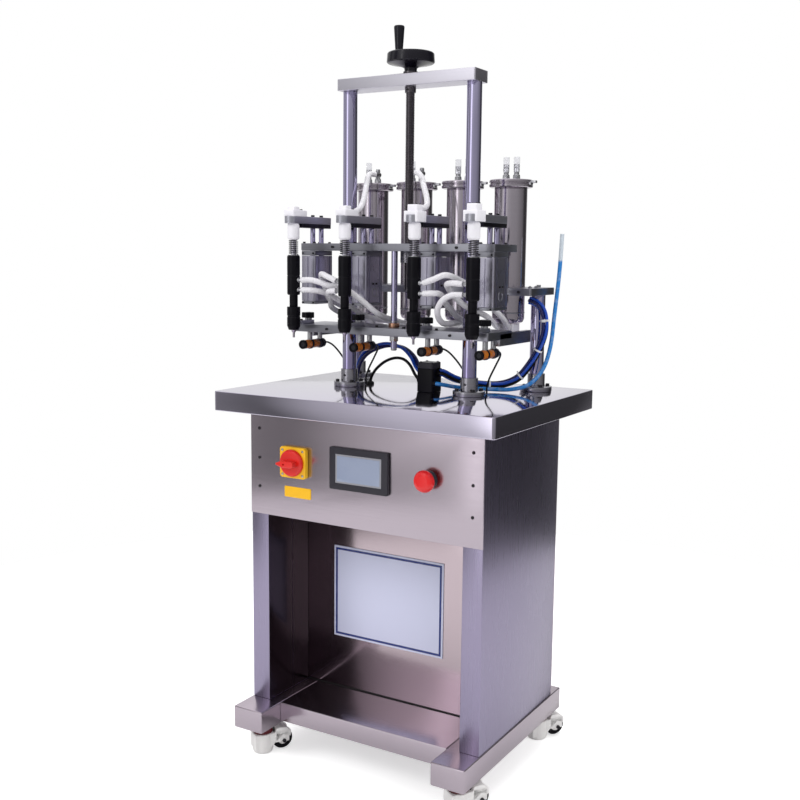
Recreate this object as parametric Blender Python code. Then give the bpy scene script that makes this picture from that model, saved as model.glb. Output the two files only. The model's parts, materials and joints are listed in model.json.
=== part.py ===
"""Four-head filling machine on a wheeled stainless cabinet, in metres, +Z up.

The frame's origin is the centre of the table, on the floor; +X is the operator's right and +Y is the
back. The lift carriage hangs on a lead screw and slides on two chromed columns. Each filling head has
a double-rod air cylinder on the carriage, an arm on its rods and a sprung nozzle under the arm.
"""

import math

import bmesh
import bpy
from mathutils import Matrix, Vector

# --- Clearances and stock ---
GAP = 0.0003
SHEET = 0.0015
PLATE = 0.002

# --- Base, cabinet and table ---
CASTER_HEIGHT = 0.060
BASE_BEAM_WIDTH = 0.068
BASE_BEAM_HEIGHT = 0.044
BASE_BEAM_FRONT = -0.226
BASE_BEAM_BACK = 0.205
CABINET_WIDTH = 0.510
CABINET_FRONT = -0.166
CABINET_BACK = 0.160
WALL_WIDTH = 0.040
TRAY_RIM = 0.038
BAY_BACK = -0.033
CONTROL_PANEL_BOTTOM = 0.486
TABLE_WIDTH = 0.600
TABLE_DEPTH = 0.450
TABLE_TOP = 0.730
TABLE_RIM = 0.038

# --- Controls, with their centre line above the floor ---
CONTROL_LINE = 0.598
SWITCH_X = -0.147
SWITCH_PLATE = 0.060
SWITCH_PLATE_THICKNESS = 0.010
SCREEN_WIDTH = 0.128
SCREEN_HEIGHT = 0.080
STOP_X = 0.146
STOP_RADIUS = 0.020
STOP_STEM_RADIUS = 0.011
STOP_FACE = 0.028
STOP_TRAVEL = 0.005

# --- Casters ---
CASTER_X = 0.222
CASTER_FRONT = -0.180
CASTER_BACK = 0.172
CASTER_HEADING = math.radians(55)
WHEEL_RADIUS = 0.021
WHEEL_WIDTH = 0.018
WHEEL_OFFSET = 0.039
WHEEL_LIFT = 0.001
WHEEL_CLEARANCE = 0.002
CASTER_ROOF = 0.005
FOOT_RADIUS = 0.017
AXLE_RADIUS = 0.003

# --- Columns, crossbar and lead screw ---
COLUMN_X = 0.136
COLUMN_RADIUS = 0.014
FLANGE_RADIUS = 0.031
FLANGE_THICKNESS = 0.009
HUB_WALL = 0.003
HUB_HEIGHT = 0.034
CROSSBAR_UNDERSIDE = 0.577
CROSSBAR_THICKNESS = 0.022
CROSSBAR_WIDTH = 0.300
CROSSBAR_DEPTH = 0.052
SCREW_RADIUS = 0.0085
SCREW_BOTTOM = 0.195
HANDWHEEL_RADIUS = 0.050
HANDWHEEL_HEIGHT = 0.040
GRIP_PLACE = (-0.035, 0.015)
GRIP_LENGTH = 0.048

# --- Lift carriage, heights above the table top ---
UPPER_BEAM_UNDERSIDE = 0.270
UPPER_BEAM_THICKNESS = 0.014
UPPER_BEAM_FRONT = -0.060
UPPER_BEAM_BACK = 0.036
LOWER_BEAM_UNDERSIDE = 0.111
LOWER_BEAM_THICKNESS = 0.015
LOWER_BEAM_FRONT = -0.080
LOWER_BEAM_BACK = 0.022
CARRIAGE_WIDTH = 0.426
RAIL_WIDTH = 0.010
RAIL_BACK = 0.107
RAIL_DROP = 0.012
SLIDE_CLEARANCE = 0.0005
TIE_ROD_Y = -0.052
TIE_ROD_RADIUS = 0.006
TIE_ROD_DROP = 0.029

# --- Filling heads ---
HEAD_INNER = 0.0755
HEAD_OUTER = 0.195
NOZZLE_Y = -0.108
GUIDE_RADIUS = 0.013
GUIDE_BORE = 0.0083
GUIDE_BOTTOM = 0.116
GUIDE_TOP = 0.161
ARM_STROKE = 0.022
BARREL_CLEARANCE = 0.001
BARREL_BOTTOM = GUIDE_TOP + ARM_STROKE + BARREL_CLEARANCE
KNOB_Y = -0.059
BARREL_RADIUS = 0.0125
BARREL_TOP = 0.260
TUBE_RADIUS = 0.008
NEEDLE_RADIUS = 0.0022
NEEDLE_BOTTOM = 0.101
STEM_RADIUS = 0.005
UNION_RADIUS = 0.0115
UNION_BOTTOM = 0.290
STEM_REACH = 0.016
NOZZLE_TRAVEL = 0.008
STEM_END_GAP = 0.002
ARM_UNDERSIDE = 0.321
ARM_THICKNESS = 0.014
ARM_WIDTH = 0.024
ARM_BACK = 0.005
CYLINDER_WIDTH = 0.034
CYLINDER_FRONT = -0.060
CYLINDER_BACK = 0.001
CYLINDER_LENGTH = 0.105
ROD_RADIUS = 0.005
ROD_YS = (-0.044, -0.015)
SENSOR_RADIUS = 0.009
SENSOR_DROP = 0.026
SENSOR_FRONT = -0.080
SENSOR_BACK = -0.002
SENSOR_POST_YS = (-0.054, -0.020)

# --- Rear shelf and tanks ---
SHELF_WIDTH = 0.470
SHELF_FRONT = 0.053
SHELF_BACK = 0.166
SHELF_UNDERSIDE = 0.189
SHELF_THICKNESS = 0.014
POST_X = 0.210
POST_Y = 0.145
TANK_Y = 0.120
TANK_PITCH = 0.105
TANK_RADIUS = 0.03175
TANK_WALL = 0.0015
TANK_BOTTOM = 0.132
TANK_LENGTH = 0.270
LID_OVERHANG = 0.01025
LID_THICKNESS = 0.013
PORT_RADIUS = 0.005
PORT_HEIGHT = 0.023

# --- Cable gland and hoses ---
GLAND_CENTRE = (0.045, 0.008)
GLAND_SIDE = 0.036
GLAND_HEIGHT = 0.058
BUNDLE_RADIUS = 0.008
BUNDLE_ROUTE = (
    (0.0636, 0.014, 0.768), (0.072, 0.014, 0.768), (0.092, 0.036, 0.754), (0.130, 0.075, 0.743),
    (0.170, 0.098, 0.742), (0.198, 0.108, 0.753), (0.210, 0.117, 0.780), (0.211, 0.1195, 0.830),
    (0.211, 0.1195, 0.880), (0.211, 0.120, 0.908),
)
VENT_RADIUS = 0.004
VENT_ROUTE = (
    (0.0636, -0.004, 0.748), (0.072, -0.004, 0.748), (0.100, 0.034, 0.739), (0.140, 0.066, 0.736),
    (0.185, 0.080, 0.737), (0.218, 0.095, 0.748), (0.236, 0.117, 0.777), (0.243, 0.134, 0.820),
    (0.246, 0.142, 0.880), (0.251, 0.148, 0.960), (0.254, 0.150, 1.036),
)

# --- Facets of round shapes ---
LARGE_ROUND = 18
MEDIUM_ROUND = 14
SMALL_ROUND = 10
SMOOTH_ANGLE = math.radians(40)
BASE_TOP = CASTER_HEIGHT + BASE_BEAM_HEIGHT
UNDER_TABLE = TABLE_TOP - PLATE - GAP
WALL_OUTER = CABINET_WIDTH / 2
WALL_INNER = WALL_OUTER - WALL_WIDTH
HEAD_XS = (-HEAD_OUTER, -HEAD_INNER, HEAD_INNER, HEAD_OUTER)
SIDES = (("left", -1), ("right", 1))


# --- Modelling helpers ---

def material(name, colour, roughness, metallic):
    """Return the named Principled material, made on first use."""
    found = bpy.data.materials.get(name)
    if found:
        return found
    made = bpy.data.materials.new(name)
    made.use_nodes = True
    shader = made.node_tree.nodes["Principled BSDF"]
    shader.inputs["Base Color"].default_value = (*colour, 1)
    shader.inputs["Roughness"].default_value = roughness
    shader.inputs["Metallic"].default_value = metallic
    made.diffuse_color = (*colour, 1)
    return made


def brushed():
    return material("brushed_steel", (0.56, 0.54, 0.55), 0.32, 1.0)


def polished():
    return material("polished_steel", (0.66, 0.66, 0.68), 0.14, 1.0)


def chrome():
    return material("chrome", (0.78, 0.78, 0.80), 0.08, 1.0)


def grey_anodised():
    return material("grey_anodised", (0.40, 0.41, 0.43), 0.35, 0.9)


def black_plastic():
    return material("black_plastic", (0.02, 0.02, 0.022), 0.4, 0.0)


def to_object(name, bm, finish):
    """Turn a bmesh into a named object with a finish, shaded smooth except at its sharp edges."""
    bmesh.ops.recalc_face_normals(bm, faces=bm.faces)
    mesh = bpy.data.meshes.new(name)
    bm.to_mesh(mesh)
    bm.free()
    mesh.shade_smooth()
    mesh.set_sharp_from_angle(angle=SMOOTH_ANGLE)
    mesh.materials.append(finish)
    obj = bpy.data.objects.new(name, mesh)
    bpy.context.scene.collection.objects.link(obj)
    return obj


def box(name, low, high, finish, bevel=0.0):
    """A box between two corners, its edges rounded by a small bevel if one is given."""
    bm = bmesh.new()
    size = Vector(high) - Vector(low)
    centre = (Vector(high) + Vector(low)) / 2
    placed = Matrix.Translation(centre) @ Matrix.Diagonal((*size, 1))
    bmesh.ops.create_cube(bm, size=1, matrix=placed)
    if bevel:
        bmesh.ops.bevel(bm, geom=bm.edges, offset=bevel, segments=1, affect="EDGES")
    return to_object(name, bm, finish)


def turned(name, profile, at, finish, segments=LARGE_ROUND, turn=None):
    """Spin an outline of (radius, height) points about an axis; turn lays the axis over."""
    bm = bmesh.new()
    verts = [bm.verts.new((radius, 0, height)) for radius, height in profile]
    edges = [bm.edges.new(pair) for pair in zip(verts, verts[1:])]
    if profile[0][0] > 0:
        edges.append(bm.edges.new((verts[-1], verts[0])))
    bmesh.ops.spin(
        bm, geom=verts + edges, cent=(0, 0, 0), axis=(0, 0, 1), angle=math.tau, steps=segments
    )
    bmesh.ops.remove_doubles(bm, verts=bm.verts, dist=1e-6)
    placed = Matrix.Translation(at) @ (turn or Matrix())
    bmesh.ops.transform(bm, matrix=placed, verts=bm.verts)
    return to_object(name, bm, finish)


def rod(name, start, end, radius, finish, segments=MEDIUM_ROUND):
    """A plain round bar between two points."""
    along = Vector(end) - Vector(start)
    turn = along.to_track_quat("Z", "Y").to_matrix().to_4x4()
    profile = ((0, 0), (radius, 0), (radius, along.length), (0, along.length))
    return turned(name, profile, start, finish, segments, turn)


def prism(name, outline, bottom, top, finish):
    """Extrude a flat outline of (x, y) points from one height to another."""
    bm = bmesh.new()
    face = bm.faces.new([bm.verts.new((x, y, bottom)) for x, y in outline])
    raised = bmesh.ops.extrude_face_region(bm, geom=[face])
    verts = [item for item in raised["geom"] if isinstance(item, bmesh.types.BMVert)]
    bmesh.ops.translate(bm, verts=verts, vec=(0, 0, top - bottom))
    return to_object(name, bm, finish)


def combine(target, operation, others):
    """Cut shapes from the target, or join them to it; the helpers stay hidden."""
    for other in others:
        step = target.modifiers.new(other.name, "BOOLEAN")
        step.operation = operation
        step.object = other
        step.solver = "EXACT"
        other.hide_render = True
        other.display_type = "WIRE"
    return target


def cut(target, *others):
    return combine(target, "DIFFERENCE", others)


def join(target, *others):
    return combine(target, "UNION", others)


def set_origin(obj, point):
    """Move the object's origin to a point on its joint's axis, leaving its shape where it is."""
    obj.data.transform(Matrix.Translation(-Vector(point)))
    obj.location = point
    return obj


def pivot(name, at, children):
    """An empty that carries the pieces of one moving body."""
    empty = bpy.data.objects.new(name, None)
    empty.location = at
    bpy.context.scene.collection.objects.link(empty)
    for child in children:
        child.parent = empty
        child.matrix_parent_inverse = Matrix.Translation(at).inverted()
    return empty


def smooth_route(points, spacing):
    """Points a set distance apart on a smooth curve through the route's own points."""
    anchors = [Vector(point) for point in points]
    padded = [2 * anchors[0] - anchors[1], *anchors, 2 * anchors[-1] - anchors[-2]]
    route = []
    for before, start, end, after in zip(padded, padded[1:], padded[2:], padded[3:]):
        steps = max(1, round((end - start).length / spacing))
        for step in range(steps):
            t = step / steps
            bend = 2 * before - 5 * start + 4 * end - after
            twist = 3 * (start - end) + after - before
            route.append(start + (end - before) * t / 2 + bend * t * t / 2 + twist * t ** 3 / 2)
    return [*route, anchors[-1]]


def hose(name, points, radius, finish):
    """A closed tube along a smooth route."""
    curve = bpy.data.curves.new(name, "CURVE")
    curve.dimensions = "3D"
    curve.bevel_depth = radius
    curve.bevel_resolution = 2
    curve.use_fill_caps = True
    route = smooth_route(points, 5.6 * radius)
    spline = curve.splines.new("POLY")
    spline.points.add(len(route) - 1)
    for point, place in zip(spline.points, route):
        point.co = (*place, 1)
    curve.materials.append(finish)
    obj = bpy.data.objects.new(name, curve)
    bpy.context.scene.collection.objects.link(obj)
    return obj


# --- Base and cabinet ---

def base_beam(side, sign):
    """A square-tube runner under one side of the cabinet, with a drain slot below."""
    inner = WALL_OUTER - BASE_BEAM_WIDTH + PLATE
    near, far = sorted((sign * inner, sign * (inner + BASE_BEAM_WIDTH)))
    low = (near, BASE_BEAM_FRONT, CASTER_HEIGHT)
    high = (far, BASE_BEAM_BACK, BASE_TOP)
    beam = box(f"{side}_base_beam", low, high, brushed(), bevel=PLATE)
    wall = 2 * PLATE
    hollow = box(
        f"{side}_beam_hollow", [edge + wall for edge in low], [edge - wall for edge in high], brushed()
    )
    middle = sign * (inner + BASE_BEAM_WIDTH / 2)
    slot = box(
        f"{side}_beam_slot",
        (middle - 0.01, -0.02, CASTER_HEIGHT - wall),
        (middle + 0.01, 0.02, CASTER_HEIGHT + 2 * wall),
        brushed(),
    )
    return cut(beam, hollow, slot)


def bottom_tray():
    """The storage floor: a folded sheet with its edges turned down."""
    half = WALL_OUTER - BASE_BEAM_WIDTH + PLATE - GAP
    low = (-half, CABINET_FRONT, BASE_TOP - TRAY_RIM)
    high = (half, CABINET_BACK, BASE_TOP)
    tray = box("bottom_tray", low, high, brushed())
    below = box(
        "tray_hollow",
        (low[0] + SHEET, low[1] + SHEET, low[2] - PLATE),
        (high[0] - SHEET, high[1] - SHEET, high[2] - SHEET),
        brushed(),
    )
    return cut(tray, below)


def side_wall(side, sign):
    """One hollow side of the cabinet, open at its top and bottom ends."""
    near, far = sorted((sign * WALL_INNER, sign * WALL_OUTER))
    low = (near, CABINET_FRONT, BASE_TOP + GAP)
    high = (far, CABINET_BACK, UNDER_TABLE)
    wall = box(f"{side}_wall", low, high, brushed())
    hollow = box(
        f"{side}_wall_hollow",
        (near + SHEET, CABINET_FRONT + SHEET, low[2] - PLATE),
        (far - SHEET, CABINET_BACK - SHEET, high[2] + PLATE),
        brushed(),
    )
    return cut(wall, hollow)


def cabinet_panels():
    """The bay's back, the control panel with its button hole, and the rear cover."""
    box(
        "inner_panel",
        (GAP - WALL_INNER, BAY_BACK, BASE_TOP + GAP),
        (WALL_INNER - GAP, BAY_BACK + SHEET, UNDER_TABLE),
        brushed(),
    )
    box(
        "rear_panel",
        (-WALL_OUTER, CABINET_BACK + GAP, BASE_TOP + GAP),
        (WALL_OUTER, CABINET_BACK + GAP + SHEET, UNDER_TABLE),
        brushed(),
    )
    panel = box(
        "control_panel",
        (-WALL_OUTER, CABINET_FRONT - GAP - PLATE, CONTROL_PANEL_BOTTOM),
        (WALL_OUTER, CABINET_FRONT - GAP, UNDER_TABLE),
        brushed(),
    )
    hole = rod(
        "stop_hole",
        (STOP_X, CABINET_FRONT - 0.02, CONTROL_LINE),
        (STOP_X, CABINET_FRONT + 0.02, CONTROL_LINE),
        STOP_STEM_RADIUS + GAP,
        brushed(),
    )
    cut(panel, hole)


def tabletop():
    """The polished table: a sheet folded down all round, with the columns bolted on top."""
    low = (-TABLE_WIDTH / 2, -TABLE_DEPTH / 2, TABLE_TOP - TABLE_RIM)
    high = (TABLE_WIDTH / 2, TABLE_DEPTH / 2, TABLE_TOP)
    top = box("tabletop", low, high, polished(), bevel=PLATE / 2)
    below = box(
        "table_hollow",
        (low[0] + PLATE, low[1] + PLATE, low[2] - PLATE),
        (high[0] - PLATE, high[1] - PLATE, high[2] - PLATE),
        polished(),
    )
    return cut(top, below)


# --- Controls ---

def control_face():
    return CABINET_FRONT - GAP - PLATE


def isolator():
    """The mains isolator: a square plate and a round knob with a bar across it."""
    yellow = material("yellow_plastic", (0.85, 0.60, 0.03), 0.4, 0.0)
    red = material("red_plastic", (0.75, 0.05, 0.03), 0.35, 0.0)
    half = SWITCH_PLATE / 2
    face = control_face()
    front = face - GAP - SWITCH_PLATE_THICKNESS
    box(
        "switch_plate",
        (SWITCH_X - half, front, CONTROL_LINE - half),
        (SWITCH_X + half, face - GAP, CONTROL_LINE + half),
        yellow,
        bevel=0.0015,
    )
    seat = (SWITCH_X, front - GAP, CONTROL_LINE)
    outward = Matrix.Rotation(math.radians(90), 4, "X")
    disc = ((0, 0), (0.025, 0), (0.025, 0.006), (0.023, 0.008), (0, 0.008))
    knob = turned("switch_knob", disc, seat, red, LARGE_ROUND, outward)
    bar = box(
        "knob_bar",
        (SWITCH_X - 0.024, seat[1] - 0.024, CONTROL_LINE - 0.006),
        (SWITCH_X + 0.018, seat[1] - 0.004, CONTROL_LINE + 0.006),
        red,
        bevel=0.002,
    )
    set_origin(join(knob, bar), seat)


def touch_panel():
    """The operator screen's housing, standing a little proud of the sheet."""
    face = control_face() - GAP
    half_width = SCREEN_WIDTH / 2
    half_height = SCREEN_HEIGHT / 2
    box(
        "touch_panel",
        (-half_width, face - 0.007, CONTROL_LINE - half_height),
        (half_width, face, CONTROL_LINE + half_height),
        black_plastic(),
        bevel=0.0015,
    )


def stop_button():
    """The mushroom button, whose stem runs through the panel."""
    face = control_face()
    outward = Matrix.Rotation(math.radians(90), 4, "X")
    radius = STOP_RADIUS
    cap_back = STOP_TRAVEL + 0.007
    profile = (
        (0, -0.016), (STOP_STEM_RADIUS, -0.016), (STOP_STEM_RADIUS, cap_back), (0.8 * radius, cap_back),
        (radius, cap_back + 0.004), (radius, STOP_FACE - 0.004), (0.8 * radius, STOP_FACE),
        (0, STOP_FACE),
    )
    red = material("red_plastic", (0.75, 0.05, 0.03), 0.35, 0.0)
    button = turned("stop_button", profile, (STOP_X, face, CONTROL_LINE), red, MEDIUM_ROUND, outward)
    set_origin(button, (STOP_X, face, CONTROL_LINE))


# --- Casters ---

def caster(place, x, y):
    """A levelling caster: a swivel housing on its foot, with the wheel carried beside the foot."""
    ivory = material("ivory_nylon", (0.80, 0.79, 0.75), 0.4, 0.0)
    tyre = material("black_nylon", (0.02, 0.02, 0.02), 0.45, 0.0)
    heading = Matrix.Rotation(CASTER_HEADING, 4, "Z")
    top = CASTER_HEIGHT - GAP
    outline = (
        (0, 0), (FOOT_RADIUS, 0), (FOOT_RADIUS, 0.005), (0.006, 0.006), (0.006, 0.0085),
        (0.0185, 0.0085), (0.0185, 0.0135), (0.012, 0.0135), (0.012, top - 0.004),
        (0.026, top - 0.004), (0.026, top), (0, top),
    )
    housing = turned(f"caster_{place}", outline, (x, y, 0), ivory, MEDIUM_ROUND)
    tail = WHEEL_OFFSET + WHEEL_RADIUS - 0.003
    slot_top = WHEEL_LIFT + 2 * WHEEL_RADIUS + WHEEL_CLEARANCE
    roof = slot_top + CASTER_ROOF
    shell = box(f"{place}_shell", (-0.020, -0.018, 0.0125), (tail, 0.018, roof), ivory, bevel=0.004)
    slot_half = WHEEL_WIDTH / 2 + WHEEL_CLEARANCE / 2
    slot = box(
        f"{place}_slot",
        (WHEEL_OFFSET - WHEEL_RADIUS - 0.0015, -slot_half, -0.01),
        (tail + 0.01, slot_half, slot_top),
        ivory,
    )
    hub_height = WHEEL_LIFT + WHEEL_RADIUS
    bore = rod(
        f"{place}_bore", (WHEEL_OFFSET, -0.03, hub_height), (WHEEL_OFFSET, 0.03, hub_height),
        AXLE_RADIUS + GAP, ivory, SMALL_ROUND,
    )
    placed = Matrix.Translation((x, y, 0)) @ heading
    for shape in (shell, slot, bore):
        shape.data.transform(placed)
    set_origin(cut(join(housing, shell), slot, bore), (x, y, 0))

    half = WHEEL_WIDTH / 2
    profile = (
        (0, -0.017), (AXLE_RADIUS, -0.017), (AXLE_RADIUS, -half), (WHEEL_RADIUS, -half),
        (WHEEL_RADIUS, half), (AXLE_RADIUS, half), (AXLE_RADIUS, 0.017), (0, 0.017),
    )
    axle_turn = heading @ Matrix.Rotation(math.radians(90), 4, "X")
    centre = Vector((x, y, 0)) + heading @ Vector((WHEEL_OFFSET, 0, hub_height))
    wheel = turned(f"wheel_{place}", profile, centre, tyre, LARGE_ROUND, axle_turn)
    set_origin(wheel, centre)


# --- Columns, crossbar and hand-wheel ---

def column(name, x, y, top):
    """A chromed bar standing in a bolted flange on the table."""
    foot = TABLE_TOP + GAP
    hub = COLUMN_RADIUS + HUB_WALL
    profile = (
        (0, foot), (FLANGE_RADIUS, foot), (FLANGE_RADIUS, foot + FLANGE_THICKNESS),
        (hub, foot + FLANGE_THICKNESS), (hub, foot + HUB_HEIGHT), (COLUMN_RADIUS, foot + HUB_HEIGHT),
        (COLUMN_RADIUS, top), (0, top),
    )
    return turned(name, profile, (x, y, 0), chrome())


def crossbar_underside():
    return TABLE_TOP + CROSSBAR_UNDERSIDE


def crossbar_top():
    return crossbar_underside() + CROSSBAR_THICKNESS


def top_crossbar():
    """The bar across the columns that carries the lead screw."""
    half = CROSSBAR_WIDTH / 2
    bar = box(
        "top_crossbar",
        (-half, -CROSSBAR_DEPTH / 2, crossbar_underside()),
        (half, CROSSBAR_DEPTH / 2, crossbar_top()),
        brushed(),
        bevel=0.001,
    )
    bore = rod(
        "crossbar_bore", (0, 0, crossbar_underside() - 0.01), (0, 0, crossbar_top() + 0.01),
        SCREW_RADIUS + SLIDE_CLEARANCE, brushed(),
    )
    return cut(bar, bore)


def lead_screw():
    """The lifting screw, held by a collar on each side of the crossbar."""
    low = crossbar_underside() - GAP
    high = crossbar_top() + GAP
    hub = high + 0.006
    radius = SCREW_RADIUS
    profile = (
        (0, TABLE_TOP + SCREW_BOTTOM), (radius - 0.002, TABLE_TOP + SCREW_BOTTOM),
        (radius, TABLE_TOP + SCREW_BOTTOM + 0.002), (radius, low - 0.010), (0.014, low - 0.010),
        (0.014, low), (radius, low), (radius, high), (0.014, high), (0.014, hub - GAP), (0, hub - GAP),
    )
    screw = turned("lead_screw", profile, (0, 0, 0), chrome(), MEDIUM_ROUND)
    set_origin(screw, (0, 0, hub))
    return hub


def handwheel(hub):
    """A dished black wheel with a turning grip near its rim."""
    radius = HANDWHEEL_RADIUS
    top = hub + HANDWHEEL_HEIGHT
    profile = (
        (0, hub), (0.013, hub), (0.013, hub + 0.011), (radius - 0.010, hub + 0.016),
        (radius, hub + 0.019), (radius, top - 0.004), (radius - 0.003, top), (radius - 0.007, top),
        (radius - 0.010, top - 0.006), (0.016, hub + 0.020), (0.013, hub + 0.026), (0, hub + 0.026),
    )
    wheel = turned("handwheel", profile, (0, 0, 0), black_plastic(), 24)
    x, y = GRIP_PLACE
    boss = rod(
        "grip_boss", (x, y, hub + 0.018), (x, y, top + 0.002), 0.008, black_plastic(), SMALL_ROUND
    )
    set_origin(join(wheel, boss), (0, 0, hub))
    foot = top + 0.002 + GAP
    grip = (
        (0, 0), (0.0075, 0), (0.0085, 0.004), (0.0085, 0.018), (0.0105, 0.038),
        (0.0105, GRIP_LENGTH - 0.004), (0.008, GRIP_LENGTH), (0, GRIP_LENGTH),
    )
    turned("handwheel_grip", grip, (0, 0, 0), black_plastic(), MEDIUM_ROUND).location = (x, y, foot)


# --- Lift carriage ---

def sliding_holes(name, bottom, top):
    """Cutters for the two columns."""
    return [
        rod(
            f"{name}_{side}_bore", (sign * COLUMN_X, 0, bottom - 0.01), (sign * COLUMN_X, 0, top + 0.01),
            COLUMN_RADIUS + SLIDE_CLEARANCE, grey_anodised(), LARGE_ROUND,
        )
        for side, sign in SIDES
    ]


def upper_beam():
    """The beam that carries the cylinders, with a nut for the lead screw under it."""
    bottom = TABLE_TOP + UPPER_BEAM_UNDERSIDE
    top = bottom + UPPER_BEAM_THICKNESS
    half = CARRIAGE_WIDTH / 2
    beam = box(
        "upper_beam", (-half, UPPER_BEAM_FRONT, bottom), (half, UPPER_BEAM_BACK, top), grey_anodised(),
        bevel=0.0008,
    )
    nut = rod("screw_nut", (0, 0, bottom - 0.022), (0, 0, top - 0.004), 0.016, grey_anodised())
    bore = rod("nut_bore", (0, 0, bottom - 0.03), (0, 0, top + 0.01), SCREW_RADIUS + GAP, grey_anodised())
    rods = [
        rod(
            f"beam_rod_hole_{index}_{row}", (x, y, bottom - 0.01), (x, y, top + 0.01),
            ROD_RADIUS + SLIDE_CLEARANCE, grey_anodised(), SMALL_ROUND,
        )
        for index, x in enumerate(HEAD_XS, 1)
        for row, y in enumerate(ROD_YS)
    ]
    return cut(join(beam, nut), bore, *sliding_holes("upper", bottom, top), *rods)


def lower_beam():
    """The beam that carries the guides and sensors, with a rail running back from each end."""
    bottom = TABLE_TOP + LOWER_BEAM_UNDERSIDE
    top = bottom + LOWER_BEAM_THICKNESS
    half = CARRIAGE_WIDTH / 2
    outline = (
        (-half, LOWER_BEAM_FRONT), (half, LOWER_BEAM_FRONT), (half, RAIL_BACK),
        (half - RAIL_WIDTH, RAIL_BACK), (half - RAIL_WIDTH, LOWER_BEAM_BACK),
        (RAIL_WIDTH - half, LOWER_BEAM_BACK), (RAIL_WIDTH - half, RAIL_BACK), (-half, RAIL_BACK),
    )
    beam = prism("lower_beam", outline, bottom, top, grey_anodised())
    rails = []
    for side, sign in SIDES:
        near, far = sorted((sign * (half - RAIL_WIDTH), sign * half))
        rails.append(
            box(
                f"{side}_rail",
                (near, LOWER_BEAM_FRONT, bottom - RAIL_DROP),
                (far, RAIL_BACK, top - 0.004),
                grey_anodised(),
            )
        )
    tie = rod(
        "tie_rod_hole", (0, TIE_ROD_Y, bottom - 0.01), (0, TIE_ROD_Y, top + 0.01),
        TIE_ROD_RADIUS + GAP, grey_anodised(),
    )
    return cut(join(beam, *rails), tie, *sliding_holes("lower", bottom, top))


def tie_rod():
    """The rod that hangs the lower beam from the upper one, with a bronze collar on the lower."""
    lower_bottom = TABLE_TOP + LOWER_BEAM_UNDERSIDE
    seat = lower_bottom + LOWER_BEAM_THICKNESS + GAP
    top = TABLE_TOP + UPPER_BEAM_UNDERSIDE - GAP
    radius = TIE_ROD_RADIUS
    collar = 0.0105
    profile = (
        (0, lower_bottom - TIE_ROD_DROP), (radius, lower_bottom - TIE_ROD_DROP), (radius, seat),
        (collar, seat), (collar, seat + 0.008), (radius, seat + 0.008), (radius, top), (0, top),
    )
    return turned("tie_rod", profile, (0, TIE_ROD_Y, 0), chrome(), MEDIUM_ROUND)


def cylinder(index, x):
    """A double-rod air cylinder hanging under the upper beam."""
    top = TABLE_TOP + UPPER_BEAM_UNDERSIDE - GAP
    half = CYLINDER_WIDTH / 2
    body = box(
        f"air_cylinder_{index}",
        (x - half, CYLINDER_FRONT, top - CYLINDER_LENGTH),
        (x + half, CYLINDER_BACK, top),
        grey_anodised(),
        bevel=0.001,
    )
    bores = [
        rod(
            f"cylinder_bore_{index}_{row}", (x, y, top - 0.085), (x, y, top + 0.01),
            ROD_RADIUS + GAP, grey_anodised(), SMALL_ROUND,
        )
        for row, y in enumerate(ROD_YS)
    ]
    return cut(body, *bores)


def guide(index, x):
    """A bottle guide: a bush over the nozzle, its arm on the lower beam, and the clamping knob."""
    seat = TABLE_TOP + LOWER_BEAM_UNDERSIDE + LOWER_BEAM_THICKNESS + GAP
    bottom = TABLE_TOP + GUIDE_BOTTOM
    top = TABLE_TOP + GUIDE_TOP
    profile = (
        (GUIDE_BORE, bottom), (GUIDE_RADIUS - 0.002, bottom), (GUIDE_RADIUS, bottom + 0.003),
        (GUIDE_RADIUS, top - 0.001), (GUIDE_RADIUS - 0.001, top), (GUIDE_BORE, top),
    )
    bush = turned(f"bottle_guide_{index}", profile, (x, NOZZLE_Y, 0), black_plastic(), MEDIUM_ROUND)
    arm = box(
        f"guide_arm_{index}",
        (x - 0.007, NOZZLE_Y + GUIDE_BORE + 0.001, seat),
        (x + 0.007, KNOB_Y + 0.012, seat + 0.007),
        black_plastic(),
    )
    lobes = 5
    knob_outline = []
    for step in range(3 * lobes):
        angle = math.tau * step / (3 * lobes)
        reach = (0.0133, 0.0133, 0.0095)[step % 3]
        knob_outline.append((x + reach * math.cos(angle), KNOB_Y + reach * math.sin(angle)))
    knob = prism(f"knob_head_{index}", knob_outline, seat + 0.011, seat + 0.022, black_plastic())
    stem = rod(
        f"knob_stem_{index}", (x, KNOB_Y, seat + 0.002), (x, KNOB_Y, seat + 0.014), 0.007,
        black_plastic(), SMALL_ROUND,
    )
    return join(bush, arm, knob, stem)


def sensor(index, x):
    """A round bottle sensor, pointing forward, on two posts under the lower beam."""
    underside = TABLE_TOP + LOWER_BEAM_UNDERSIDE - GAP
    height = underside + GAP - SENSOR_DROP
    amber = material("amber_plastic", (0.75, 0.28, 0.02), 0.35, 0.0)
    forward = Matrix.Rotation(math.radians(90), 4, "X")
    length = SENSOR_BACK - SENSOR_FRONT
    radius = SENSOR_RADIUS
    profile = (
        (0, 0), (0.004, 0), (0.006, 0.012), (radius, 0.016), (radius, length - 0.001),
        (radius - 0.001, length), (0, length),
    )
    place = (x, SENSOR_BACK, height)
    body = turned(f"bottle_sensor_{index}", profile, place, amber, MEDIUM_ROUND, forward)
    posts = [
        rod(
            f"sensor_post_{index}_{row}", (x, y, height), (x, y, underside), 0.005, brushed(), SMALL_ROUND
        )
        for row, y in enumerate(SENSOR_POST_YS)
    ]
    return join(body, *posts)


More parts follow.
